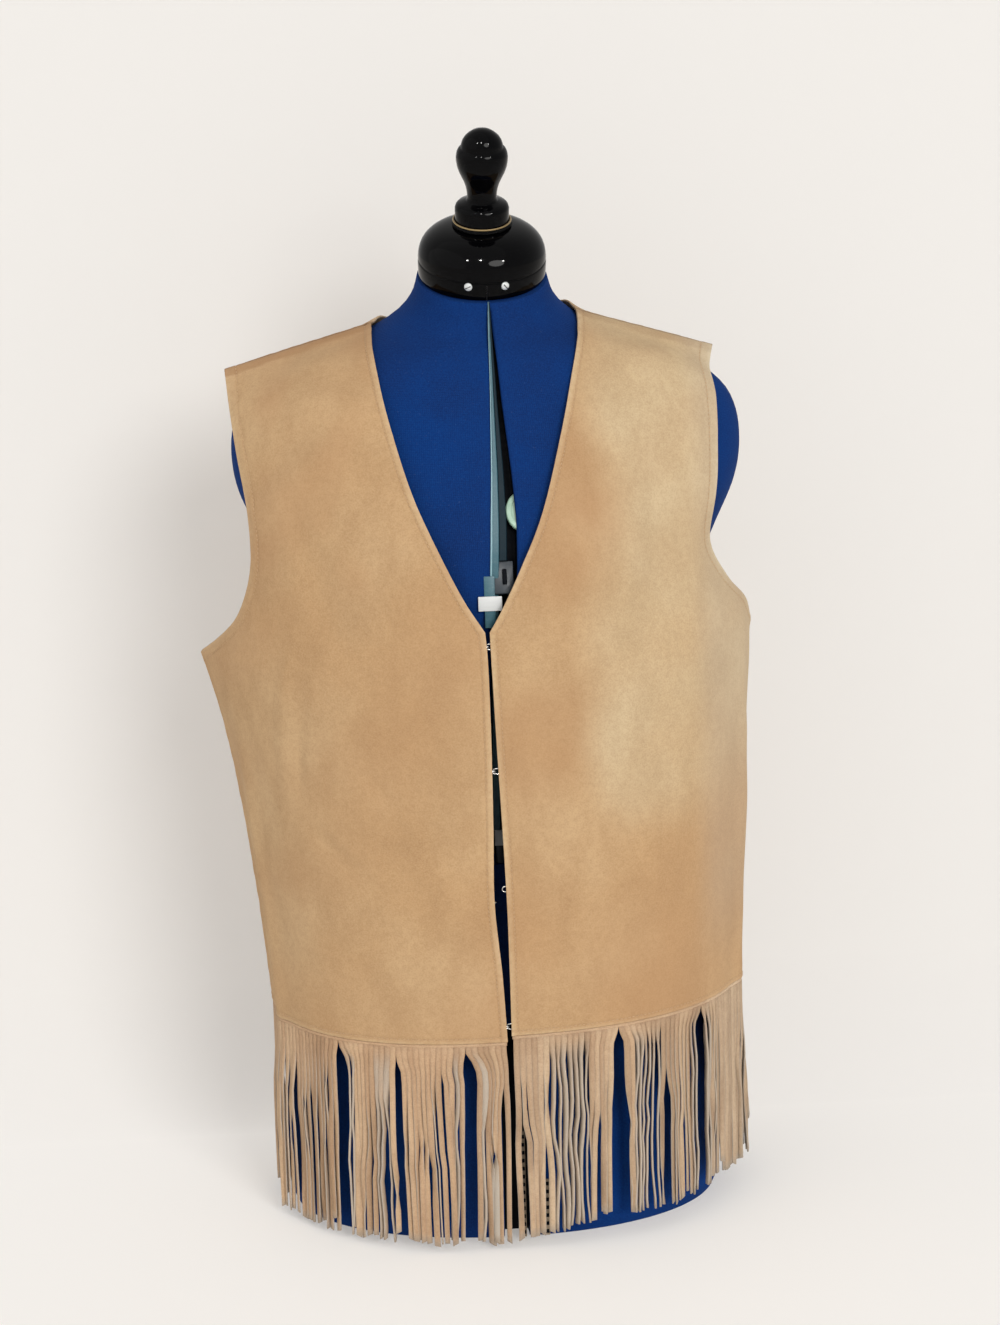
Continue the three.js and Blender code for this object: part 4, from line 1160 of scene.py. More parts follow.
@dataclass
class HalfPanel:
    """Half of the vest's front or back, as a fine grid of points from its hem to its shoulder."""

    rows: tuple[Row, ...]
    folds: tuple[Fold, ...]
    back: bool = False

    def stops(self) -> list[tuple[int, float]]:
        """The table span and the share of it at each fine row. Two panels that meet at a seam have the same ones."""
        spans = len(self.rows) - 1
        found = []
        for i in range(spans):
            a, b = self.rows[i], self.rows[i + 1]
            long = max(np.linalg.norm(np.subtract(b.outer, a.outer)), np.linalg.norm(np.subtract(b.inner, a.inner)))
            if i < UNDERARM:
                long = 66.0
            elif self.back:
                long = 65.0 if i == spans - 1 else 52.0
            count = math.ceil(long / ROW_STEP)
            shares = list(np.arange(count) / count)
            if i == 0:
                shares = list(HEM_DISTANCES / long) + [s for s in shares if s * long > 11]
            if i == spans - 1:
                shares = [s for s in shares if (1 - s) * long > 14.5] + list(1 - TOP_DISTANCES / long)
            found += [(i, s) for s in shares]
        return found + [(spans - 1, 1.0)]

    def fine_row(self, k: int) -> int:
        """The number of the fine row that lies on table row k."""
        return self.stops().index((k, 0))

    def key(self, k: int, shares: Array) -> Array:
        """The points of table row k, held to the table."""
        return self.rows[min(max(k, 0), len(self.rows) - 1)].at(shares)

    def slope(self, k: int, shares: Array, above: bool) -> Array:
        """How the surface rises through table row k, with its corner kept at its edge.

        Args:
            k: The row.
            shares: Shares across it.
            above: Whether the span above the row is meant.

        Returns:
            The slopes, N x 3.
        """
        before, own, after = self.key(k - 1, shares), self.key(k, shares), self.key(k + 1, shares)
        smooth = (after - before) * 0.5
        corner = self.rows[k].corner
        if corner == Corner.NONE:
            return smooth
        sharp = after - own if above else own - before
        weight = ease(shares if corner == Corner.OUTER else 1 - shares)[:, None]
        return smooth * (1 - weight) + sharp * weight

    def grid(self) -> tuple[Array, Array]:
        """The outer face before relief.

        Returns:
            The points, R x C x 3, and the distance of each from the inner edge along its row, R x C.
        """
        lengths = [r.length() for r in self.rows]
        points, along = [], []
        for i, t in self.stops():
            long = lengths[i] + (lengths[i + 1] - lengths[i]) * t
            middle = np.linspace(INNER_DISTANCES[-1], long - OUTER_DISTANCES[-1], MIDDLE_COLUMNS)[1:-1]
            distances = np.concatenate([INNER_DISTANCES, middle, long - OUTER_DISTANCES[::-1]])
            shares = distances / long
            a, b = self.key(i, shares), self.key(i + 1, shares)
            points.append(hermite(a, b, self.slope(i, shares, True), self.slope(i + 1, shares, False), np.float64(t)))
            along.append(distances)
        return self.raised(np.array(points), np.array(along)), np.array(along)

    def raised(self, grid: Array, along: Array) -> Array:
        """The grid with its folds, resting on the form where it lies there.

        Args:
            grid: R x C x 3 points.
            along: R x C distances from the inner edge.

        Returns:
            The moved points.
        """
        run = unit(np.gradient(grid, axis=1) * [1, 1, 0])
        side = 1 if self.rows[0].outer[0] < 0 else -1
        out = np.stack([-run[..., 1] * side, run[..., 0] * side, np.zeros(run.shape[:2])], -1)
        if self.back:
            out = -out
        share = along / along[:, -1:]
        z = grid[..., 2]
        lift = np.zeros(z.shape)
        for fold in self.folds:
            up = np.clip((z - fold.low) / (fold.high - fold.low), 0, 1)
            away = (share - (fold.at[0] + (fold.at[1] - fold.at[0]) * up)) * along[:, -1:] / fold.half
            fade = ease((fold.high - z) / (0.4 * (fold.high - fold.low)))
            lift += fold.rise * fade * ease((z - fold.low) / 30) * np.exp(-away * away)
        edge = ease((1 - share) * 6) * ease(share * 6)
        moved = grid + out * (lift * edge)[..., None]
        return FORM.rest(moved.reshape(-1, 3), WALL + LOOSE_GAP).reshape(grid.shape)


def skin_normals(points: Array, faces: Array) -> Array:
    """Normals at the points of a surface of four-sided faces."""
    a, b, c, d = (points[faces[:, k]] for k in range(4))
    face = np.cross(c - a, d - b)
    total = np.zeros_like(points)
    for k in range(4):
        np.add.at(total, faces[:, k], face)
    return unit(total)


@dataclass
class Panel:
    """A sewn panel of suede: one half for a front, two for the back, with its relief, wall and stitches."""

    name: str
    halves: tuple[HalfPanel, ...]
    creases: tuple[Crease, ...] = ()
    seed: int = 1
    piece: Piece | None = None
    sewn: list[Piece] = field(default_factory=list)

    def lay_out(self) -> None:
        """Lays the halves' grids out as one surface, with the lines of its edges and seams."""
        index, points, along = [], [], []
        for half in self.halves:
            grid, arcs = half.grid()
            ids = np.arange(grid.shape[0] * grid.shape[1]).reshape(grid.shape[:2]) + sum(len(p) for p in points)
            flat, arc = grid.reshape(-1, 3), arcs.ravel()
            if index:
                joined = half.fine_row(BACK_NECK) + 1
                ids[:joined, 0] = index[0][:joined, 0]
            points.append(flat)
            along.append(arc)
            index.append(ids)
        self.points = np.concatenate(points)
        self.along = np.concatenate(along)
        self.index = index
        faces = []
        for half, ids in zip(self.halves, index):
            quads = np.stack([ids[:-1, :-1], ids[:-1, 1:], ids[1:, 1:], ids[1:, :-1]], -1).reshape(-1, 4)
            turned_over = (half.rows[0].outer[0] < 0) != half.back
            faces.append(quads[:, ::-1] if turned_over else quads)
        self.faces = np.concatenate(faces)
        self.normals = skin_normals(self.points, self.faces)

    def lines(self) -> dict[str, list[Array]]:
        """The point numbers along each kind of edge, from the hem up and from the inner edge out."""
        found: dict[str, list[Array]] = {"armhole": [], "opening": [], "hem": [], "side": [], "shoulder": []}
        for half, ids in zip(self.halves, self.index):
            under = half.fine_row(UNDERARM)
            found["side"].append(ids[: under + 1, -1])
            found["armhole"].append(ids[under:, -1])
            found["hem"].append(ids[0])
            found["shoulder"].append(ids[-1])
            found["opening"].append(ids[half.fine_row(BACK_NECK) if half.back else 0 :, 0])
        return found

    def measure(self) -> None:
        """Measures how far each point lies from each kind of edge."""
        self.edges = self.lines()
        self.far = {}
        for kind, lines in self.edges.items():
            every = [distance_to(self.points, self.points[ids]) for ids in lines]
            self.far[kind] = np.minimum.reduce(every)

    def draw_back(self) -> None:
        """Draws the edges at the seams back by half the gap between two pieces."""
        edges = [pair for ids in self.index for pair in ((ids[:, -1], ids[:, -2]), (ids[-1], ids[-2]))]
        edges += [(ids[:, 0], ids[:, 1]) for half, ids in zip(self.halves, self.index) if not half.back]
        for edge, beside in edges:
            self.points[edge] += unit(self.points[beside] - self.points[edge]) * HALF_GAP

    def relief(self) -> Array:
        """How far the outer face stands out from the plain surface, at each point."""
        far = self.far
        soft = waves(self.points, self.seed, 95) * 0.55 + waves(self.points, self.seed + 9, 38) * 0.28
        near = np.minimum.reduce([far["side"], far["shoulder"], far["opening"], far["armhole"], far["hem"]])
        lift = soft * ease(near / 18)
        pucker = waves(self.points, self.seed + 3, 11)
        for kind, width in STITCH_ROWS.items():
            d = far[kind]
            lift += 0.34 * ease((width + 0.9 - d) / 1.6)
            lift -= (0.4 if kind == "armhole" else 0.3) * bell(d - width, 0.75)
            lift += 0.2 * pucker * bell(d - width, 4.0)
        for kind in ("side", "shoulder"):
            lift -= 0.95 * bell(far[kind], 1.7)
            lift += (0.3 + 0.16 * pucker) * bell(far[kind] - 4.5, 3.0)
        for crease in self.creases:
            lift += self.crease_lift(crease) * ease(near / 10)
        return lift

    def crease_lift(self, crease: Crease) -> Array:
        """How far one crease lifts each point.

        Args:
            crease: The crease, given by its x and height.

        Returns:
            The lift at every point.
        """
        out = np.zeros(len(self.points))
        for half, ids in zip(self.halves, self.index):
            some = ids.ravel()
            places = self.points[some]
            spots = []
            for x, z in crease.line:
                nearest = some[np.argmin((places[:, 0] - x) ** 2 + (places[:, 2] - z) ** 2)]
                spots.append((self.along[nearest], z, abs(self.points[nearest, 0] - x)))
            if max(s[2] for s in spots) > 6:
                continue
            line = resample(np.array([s[:2] for s in spots], float), 2.0)
            flat = np.stack([self.along[some], places[:, 2]], 1)
            gaps = ((flat[:, None, :] - line[None]) ** 2).sum(-1)
            nearest = gaps.argmin(1)
            share = nearest / (len(line) - 1)
            taper = np.clip(4 * share * (1 - share), 0, 1) ** 0.6
            out[some] = crease.rise * taper * np.exp(-gaps.min(1) / crease.half**2)
        return out

    def wall_of(self) -> None:
        """Gives the surface its relief, its rounded edges and its wall, and makes the piece."""
        far = self.far
        free = np.minimum.reduce([far["armhole"], far["opening"], far["hem"]])
        seam = np.minimum(far["side"], far["shoulder"])

        def rounding(d: Array, radius: float) -> Array:
            """How far a face falls away towards an edge of that radius."""
            inside = np.clip(radius - d, 0, radius)
            return radius - np.sqrt(np.maximum(radius**2 - inside**2, 0))

        turn_over = np.maximum(rounding(free, EDGE_ROUND), rounding(seam, SEAM_ROUND))
        raised = self.points + self.normals * (self.relief() - turn_over)[:, None]
        self.outer = FORM.rest(raised, WALL + LEAST_GAP, softness=0.4)
        normals = skin_normals(self.outer, self.faces)
        thick = (WALL - 2 * turn_over)[:, None]
        self.inner = self.outer - self.normals * thick
        self.face_normals = normals
        count = len(self.points)
        rims: dict[tuple[int, int], None] = {}
        for quad in self.faces:
            for k in range(4):
                p, q = int(quad[k]), int(quad[(k + 1) % 4])
                if (q, p) in rims:
                    del rims[(q, p)]
                else:
                    rims[(p, q)] = None
        faces = [tuple(map(int, f)) for f in self.faces]
        faces += [tuple(int(v) + count for v in f[::-1]) for f in self.faces]
        faces += [(p, p + count, q + count, q) for p, q in rims]
        used = np.unique(np.array([v for f in faces for v in f]))
        renumber = np.full(2 * count, -1)
        renumber[used] = np.arange(len(used))
        faces = [tuple(int(renumber[v]) for v in f) for f in faces]
        both = np.concatenate([self.outer, self.inner])[used]
        values = {key: np.concatenate([v, v])[used] for key, v in self.tones().items()}
        flat = np.stack([self.along, self.outer[:, 2]], 1) * MM
        self.piece = mesh_piece(self.name, both, faces, SUEDE, values, np.concatenate([flat, flat])[used])
        ride(self.piece)

    def tones(self) -> dict[str, Array]:
        """How worn, warm, pale and cut the suede is at each point, and where shade is painted on it."""
        far = self.far
        patch = waves(self.points, self.seed + 21, 60) * 0.5 + 0.5
        worn = 0.42 * bell(far["opening"], 3.0) + 0.34 * bell(far["armhole"], 3.2)
        worn += 0.42 * bell(far["hem"], 2.6)
        # Painted shade: darker in the grooves along the side and shoulder seams and beside the stitch rows.
        shade = 0.22 * bell(far["side"], 2.2) + 0.35 * bell(far["shoulder"], 1.8)
        for kind, width in STITCH_ROWS.items():
            if kind != "hem":
                worn += 0.12 * ease((width - far[kind]) / 2)
            shade += 0.08 * bell(far[kind] - width, 0.9)
        warm = np.clip((waves(self.points, self.seed + 40, 130) * 0.5 + 0.3) * 0.55, 0, 0.5)
        x, z = self.points[:, 0], self.points[:, 2]
        drift = waves(self.points, self.seed + 60, 170) * 14
        # Painted sheen: the wearer's left front, from the waist up, is drawn paler and cooler, as its nap shines there.
        pale = ease((x - 58 + drift) / 50) * ease((z - 330 + drift) / 110) * (0.86 + 0.14 * patch)
        # Greyer towards the wearer's left side, beyond the fold, by mixing in the cut-edge grey; it is no cut edge.
        grey = 0.5 * ease((x - 150) / 30) * ease((z - 200) / 100)
        blotch = np.maximum(0, waves(self.points, self.seed + 80, 48)) * ease((z - 520) / 90)
        warm = np.clip(warm + 0.34 * blotch, 0, 0.8)
        low = ease((x - 40) / 50) * ease((340 - z) / 90)
        warm = np.clip(warm + 0.3 * low, 0, 0.8)
        if self.halves[0].back:
            # Painted shade: the back is drawn browner and darker near the shoulder seams, where it slopes away from the
            # light.
            warm = np.clip(warm + 0.5 * bell(far["shoulder"], 16), 0, 1)
            shade += 0.28 * bell(far["shoulder"], 14)
        else:
            # Painted shade: a brown band along the fronts' shoulder seams stands for the shaded back beyond the seam.
            band = ease((12.0 - far["shoulder"]) / 1.6)
            warm = np.clip(warm + 0.75 * band, 0, 1)
            shade += 0.16 * band
        return {
            "worn": np.clip(worn * (0.7 + 0.5 * patch), 0, 0.8),
            "shade": np.clip(shade, 0, 0.7),
            "warm": warm * (1 - 0.8 * pale),
            "pale": np.clip(pale, 0, 1),
            # The greyer side, carried by the cut attribute.
            "cut": grey * 0.42,
        }

    def stitch_line(self, half: int, kind: str, width: float) -> tuple[Array, Array]:
        """The line on the outer face that runs beside an edge.

        Args:
            half: Which half.
            kind: The kind of edge.
            width: How far from it the line runs.

        Returns:
            The line's points and the face's normals there.
        """
        ids = self.index[half] if kind != "hem" else self.index[half].T
        if kind == "armhole":
            ids = ids[:, ::-1]
        spots, ways = [], []
        for line in ids:
            d = self.far[kind][line]
            over = np.nonzero((d[:-1] < width) & (d[1:] >= width))[0]
            if d[0] >= width or not len(over):
                continue
            i = over[0]
            t = (width - d[i]) / (d[i + 1] - d[i])
            a, b = line[i], line[i + 1]
            spots.append(self.outer[a] * (1 - t) + self.outer[b] * t)
            ways.append(self.face_normals[a] * (1 - t) + self.face_normals[b] * t)
        return np.array(spots), unit(np.array(ways))

    def stitches(self) -> None:
        """Sews along the armhole, the opening and the hem: small joined stitches, sunk into their groove."""
        points: list[Array] = []
        faces: list[tuple[int, ...]] = []
        rng = np.random.RandomState(self.seed)
        for half in range(len(self.halves)):
            for kind, width in STITCH_ROWS.items():
                line, normals = self.stitch_line(half, kind, width)
                both = resample(np.concatenate([line, normals], 1), 0.6)
                arcs = arcs_of(both[:, :3])
                start = 1.5
                while start + 3.0 < arcs[-1]:
                    holes = (along_line(s, arcs, both) for s in (start, start + STITCH))
                    self.stitch(*holes, rng.uniform(-0.12, 0.12), points, faces)
                    start += STITCH_STEP
        flat = np.concatenate(points)
        piece = mesh_piece("stitches_" + self.name, flat, faces, THREAD)
        self.sewn.append(ride(piece))

    @staticmethod
    def stitch(a: Array, b: Array, slant: float, points: list, faces: list) -> None:
        """Adds one stitch: a short thread that bows up between its two holes.

        Args:
            a: Place and normal of its first hole.
            b: Place and normal of its second.
            slant: How far it lies askew, in mm.
            points: The points so far, which it adds to.
            faces: The faces so far, which it adds to.
        """
        run = b[:3] - a[:3]
        up = unit(a[3:] + b[3:])
        side = unit(np.cross(run, up))
        start = sum(len(p) for p in points)
        rings = []
        for share, radius, rise in ((0.0, 0.18, -0.25), (0.2, 0.34, 0.1), (0.8, 0.34, 0.1), (1.0, 0.18, -0.25)):
            centre = a[:3] + run * share + up * rise + side * slant * (share - 0.5) * 2
            angle = np.arange(6) * (math.pi / 3)
            rings.append(centre + radius * (np.cos(angle)[:, None] * side + np.sin(angle)[:, None] * up))
        points.append(np.concatenate(rings))
        faces += [face[::-1] for face in tube_faces(len(rings), 6, start)]

    def area(self) -> float:
        """The area of the outer face, in square metres."""
        a, b, c, d = (self.outer[self.faces[:, k]] for k in range(4))
        return float(0.5 * np.linalg.norm(np.cross(c - a, d - b), axis=1).sum() * MM * MM)

    def hem_line(self) -> tuple[Array, Array]:
        """The hem on the outer face from the inner to the outer edge, or across the back, and its outward normals."""
        lines = [ids[0] for ids in self.index]
        ids = lines[0] if len(lines) == 1 else np.concatenate([lines[0][::-1], lines[1][1:]])
        out = unit(self.normals[ids] * [1, 1, 0])
        return self.points[ids], out


def share_normals(panels: list[Panel]) -> None:
    """Mitres the walls of panels that meet at a seam, by averaging their normals where their edges lie together."""
    edges = []
    for panel in panels:
        lines = panel.lines()
        edges.append((panel, np.unique(np.concatenate(lines["side"] + lines["shoulder"]))))
    for i, (a, ids_a) in enumerate(edges):
        for b, ids_b in edges[i + 1 :]:
            gaps = ((a.points[ids_a][:, None] - b.points[ids_b][None]) ** 2).sum(-1)
            for k, near in enumerate(gaps.argmin(1)):
                if gaps[k, near] < SAME_PLACE**2:
                    mean = unit(a.normals[ids_a[k]] + b.normals[ids_b[near]])
                    a.normals[ids_a[k]] = b.normals[ids_b[near]] = mean


# ---- fringe


@dataclass(frozen=True)
class Parting:
    """A place where strands part: share along the hem, the width it opens to, and how far down it starts to."""

    at: float
    open: float
    start: float = 0.05


@dataclass(frozen=True)
class EdgeOn:
    """A run of strands that hang edge-on: shares of the hem where it starts and ends, and how far down they turn."""

    low: float
    high: float
    start: float = 0.0


@dataclass
class Tuft:
    """A few neighbouring strands that hang together: how they sway, stand out, end and are toned."""

    size: int
    sway: float
    lean: float
    drop: float
    tone: float
    slit: float
    phase: float


@dataclass
class Fringe:
    """A cut fringe below a hem: a narrow strip and its strands, each a flat ribbon that hangs, twists and sways."""

    name: str
    node: str
    strands: int
    ends: tuple[tuple[float, float], ...]
    partings: tuple[tuple[float, ...], ...]
    edge_on: tuple[tuple[float, ...], ...] = ()
    flipped: tuple[float, ...] = ()
    greys: tuple[tuple[float, float], ...] = ((0, 0), (1, 0))
    flare: tuple[tuple[float, float], ...] = ((0, 0), (1, 0))
    seed: int = 5
    thick: float = 1.3
    strip: float = 2.6
    below: float = 0.36
    margin: float = 1.2
    inset: float = 0.3
    reach: float = 22.0
    levels: tuple[float, ...] = (0.0, 0.035, 0.08, 0.13, 0.19, 0.26, 0.34, 0.43, 0.52, 0.61, 0.7, 0.79, 0.88, 0.95, 1.0)
    section: tuple[tuple[float, float, float], ...] = (
        (-1, -0.45, 1), (-1, 0.45, 1), (-0.9, 0.94, 0.15), (0, 1.0, 0), (0.9, 0.94, 0.15),
        (1, 0.45, 1), (1, -0.45, 1), (0.9, -0.94, 0.5), (0, -1.0, 0.45), (-0.9, -0.94, 0.5))

    def line_up(self, hem: Array, out: Array) -> None:
        """Keeps the hem's line and the strands' spacing along it."""
        self.line = np.concatenate([hem, out], 1)
        self.arcs = arcs_of(hem[:, :2])
        self.total = float(self.arcs[-1])
        self.pitch = (self.total - 2 * self.margin) / self.strands
        self.parts = [Parting(*values) for values in self.partings]
        self.runs = [EdgeOn(*values) for values in self.edge_on]
        self.over = self.turned_over(hem, out)
        self.points: list[Array] = []
        self.faces: list[tuple[int, ...]] = []
        self.tones: dict[str, list[Array]] = {key: [] for key in ("cut", "shade", "warm", "worn", "pale")}

    def at(self, distance: float) -> tuple[Array, Array, Array]:
        """Place, run and outward way of the hem at a distance along it."""
        distance = min(max(distance, 0.0), self.total)
        spot = along_line(distance, self.arcs, self.line)
        near = (min(distance + 2, self.total), max(distance - 2, 0))
        ahead, behind = (along_line(d, self.arcs, self.line[:, :2]) for d in near)
        return spot[:3], unit(np.array([*(ahead - behind), 0.0])), unit(np.array([spot[3], spot[4], 0.0]))

    def add(self, rings: Array, values: dict[str, Array]) -> None:
        """Adds a closed tube through rings of points.

        Args:
            rings: L x S x 3 points.
            values: L x S values for each tone.
        """
        if not self.over:
            rings = rings[:, ::-1]
            values = {key: value[:, ::-1] for key, value in values.items()}
        self.faces += tube_faces(*rings.shape[:2], sum(len(p) for p in self.points))
        self.points.append(rings.reshape(-1, 3))
        for key, value in values.items():
            self.tones[key].append(value.ravel())

    def shift(self, middle: float) -> Array:
        """How far the partings push a strand along the hem, at each level."""
        levels = np.array(self.levels)
        push = np.zeros(len(levels))
        for p in self.parts:
            away = middle - p.at * self.total
            uneven = 1 + 0.5 * math.sin(p.at * 91) * math.copysign(1, away)
            most = uneven * math.copysign(p.open / 2, away) * math.exp(-((away / self.reach) ** 2))
            push += most * ease((levels - p.start) / 0.1)
        return push

    def crowd(self, middle: float) -> Array:
        """How much of its own width is left to a strand at each level, where its neighbours are pushed on it."""
        low, high = middle - self.pitch / 2, middle + self.pitch / 2
        sides = [p.at * self.total for p in self.parts]
        low, high = (middle if any(low < s < middle for s in sides) else low,
                     middle if any(middle < s < high for s in sides) else high)
        squeeze = (self.shift(high) - self.shift(low)) / max(high - low, 1.0)
        return np.clip(1 + squeeze, 0.25, 1.0)

    def hang(self, number: int, tuft: Tuft, rng: np.random.RandomState) -> None:
        """Hangs one strand.

        Args:
            number: Its number along the hem.
            tuft: The tuft it belongs to.
            rng: The source of its unevenness.
        """
        levels = np.array(self.levels)
        middle = self.margin + self.pitch * (number + 0.5)
        share = middle / self.total
        side = 1.0 if math.sin(middle / 29 + self.seed) > 0 else -1.0
        turn = side * np.arccos(self.crowd(middle)) * 0.5
        free = ease((levels - tuft.slit - rng.uniform(-0.03, 0.16)) / 0.26)
        curl = np.zeros(len(levels))
        run_on = [e for e in self.runs if e.low <= share <= e.high]
        if run_on:
            turn = ease((levels - run_on[0].start) / 0.16) * math.radians(rng.uniform(48, 104)) * side
            curl = 1.05 * np.sin(levels * rng.uniform(9.5, 13.5) + tuft.phase + 0.9 * rng.normal())
            curl *= ease(levels / 0.12)
            curl += 0.5 * np.sin(levels * 23 + rng.uniform(0, 6)) * ease(levels / 0.2) * (1 - 0.5 * levels)
        elif rng.rand() < 0.035:
            start = rng.uniform(0.1, 0.55)
            turn = turn + ease((levels - start) / 0.25) * math.radians(rng.uniform(55, 95)) * rng.choice([-1, 1])
        else:
            turn = turn + np.radians(7 * math.sin(middle / 13) + 7 * rng.normal()) * free
            if rng.rand() < 0.5:
                centre, length = rng.uniform(0.25, 0.95), rng.uniform(0.06, 0.2)
                bump = np.exp(-(((levels - centre) / length) ** 2)) * free
                turn = turn + math.radians(rng.uniform(35, 80)) * rng.choice([-1, 1]) * bump
        flipped = any(abs(share - f) < 0.75 * self.pitch / self.total for f in self.flipped)
        if flipped:
            turn = turn + math.pi * ease((levels - 0.42) / 0.22)
        sway = (tuft.sway + 0.25 * rng.normal()) * free * levels + curl
        sway = sway + 0.35 * np.sin(levels * rng.uniform(4, 9) + tuft.phase) * free
        lean = (tuft.lean + 0.25 * rng.normal() + 0.4 * (number % 2)) * free
        lean = lean + float(np.interp(share, *zip(*self.flare))) * levels**1.3
        lean = lean + 0.5 * np.sin(levels * rng.uniform(4, 8) + tuft.phase) * free * levels
        end = float(np.interp(share, *zip(*self.ends))) + tuft.drop + rng.uniform(-0.8, 1.6)
        end = max(end + (rng.uniform(3, 8) if rng.rand() < 0.05 else 0.0), 1.4)
        broad = self.pitch * rng.uniform(0.88, 1.12)
        thick = self.thick * (1.35 if run_on else 1.0)
        push = self.shift(middle)
        section = np.array(self.section)
        rings = []
        for i, level in enumerate(levels):
            spot, run, way = self.at(middle + push[i] + sway[i])
            centre = spot - way * (self.inset + self.thick / 2 - lean[i])
            across = run * math.cos(turn[i]) + way * math.sin(turn[i])
            through = way * math.cos(turn[i]) - run * math.sin(turn[i])
            top = spot[2] - self.below - self.strip + 0.3
            width = self.pitch * (1 - free[i]) * 1.02 + broad * free[i]
            width *= 1.0 - 0.04 * level
            ring = centre + section[:, :1] * across * width / 2 + section[:, 1:2] * through * thick / 2
            ring[:, 2] = top + (end - top) * level
            rings.append(ring)
        ribbon = np.array(rings)
        ribbon[-1, :, 2] += section[:, 0] * rng.uniform(-1.4, 1.4)
        grain = np.ones((len(levels), len(section)))
        grey = float(np.interp(share, *zip(*self.greys)))
        down = levels[:, None] * grain
        cut = section[None, :, 2] * 0.9 * ease(down * 4) * rng.uniform(0.75, 1.0)
        if run_on:
            cut = np.maximum(cut, rng.uniform(0.35, 0.8) * ease(down * 7))
        if flipped:
            cut = np.maximum(cut, 0.9 * ease((down - 0.5) / 0.16))
        cut[-1] = 0.6
        tone = tuft.tone + rng.uniform(-0.08, 0.12)
        patchy = rng.uniform(0, 0.26) * np.maximum(0, np.sin(down * rng.uniform(5, 16) + rng.uniform(0, 6)))
        # Painted shade: darker lines along a strand's edges, where it meets its neighbours; shade also carries each
        # strand's darker tone and patches.
        rims = rng.uniform(0.02, 0.26) * section[None, :, 0] ** 8 * (1 - 0.4 * down)
        shade = np.clip(0.05 * down + tone + patchy * free[:, None] + rims, 0, 0.65)
        self.add(ribbon, {"cut": cut, "shade": shade + 0.18 * grey, "warm": grain * rng.uniform(0, 0.35) * (1 - grey),
                          "worn": grain * max(-tone, 0) * 2, "pale": np.clip(grain * grey, 0, 1)})

    def build(self, hem: Array, out: Array) -> Piece:
        """Hangs the fringe from a hem.

        Args:
            hem: The hem's points.
            out: Its outward normals.

        Returns:
            The piece.
        """
        self.line_up(hem, out)
        rng = np.random.RandomState(self.seed)
        rings = []
        stations = np.linspace(self.margin / 2, self.total - self.margin / 2, int(self.total / 4))
        for s in stations:
            spot, _, way = self.at(float(s))
            top, low = spot[2] - self.below, spot[2] - self.below - self.strip
            near, deep = self.inset + 0.08, self.inset + self.thick - 0.08
            corners = ((near, top - 0.2), (near, low), (near + 0.2, low - 0.2), (deep - 0.2, low - 0.2),
                       (deep, low), (deep, top - 0.2), (deep - 0.2, top), (near + 0.2, top))
            rings.append([[*(spot - way * d)[:2], z] for d, z in corners])
        strip = np.array(rings)
        zero = np.zeros(strip.shape[:2])
        grey = np.interp(stations / self.total, *zip(*self.greys))[:, None] + zero
        self.add(strip, {"cut": zero, "shade": zero + 0.04, "warm": zero + 0.1, "worn": zero, "pale": grey})
        number = 0
        while number < self.strands:
            tuft = Tuft(int(rng.choice([1, 2, 3, 4, 5, 6])), 1.8 * rng.normal(), 1.4 * rng.normal() + 0.4,
                        rng.uniform(-0.8, 3.0), rng.uniform(-0.1, 0.17), rng.uniform(0.03, 0.2), rng.uniform(0, 6))
            for k in range(number, min(number + tuft.size, self.strands)):
                self.hang(k, tuft, rng)
            number += tuft.size
        values = {key: np.concatenate(v) for key, v in self.tones.items()}
        piece = mesh_piece(self.name, np.concatenate(self.points), self.faces, FRINGE, values)
        ride(piece)
        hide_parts(self.node)
        return piece

    @staticmethod
    def turned_over(hem: Array, out: Array) -> bool:
        """Whether the hem runs so that its left side is outward."""
        middle = len(hem) // 2
        run = hem[middle + 1] - hem[middle - 1]
        return bool(np.cross(run, out[middle])[2] > 0)


# ---- hooks and eyes


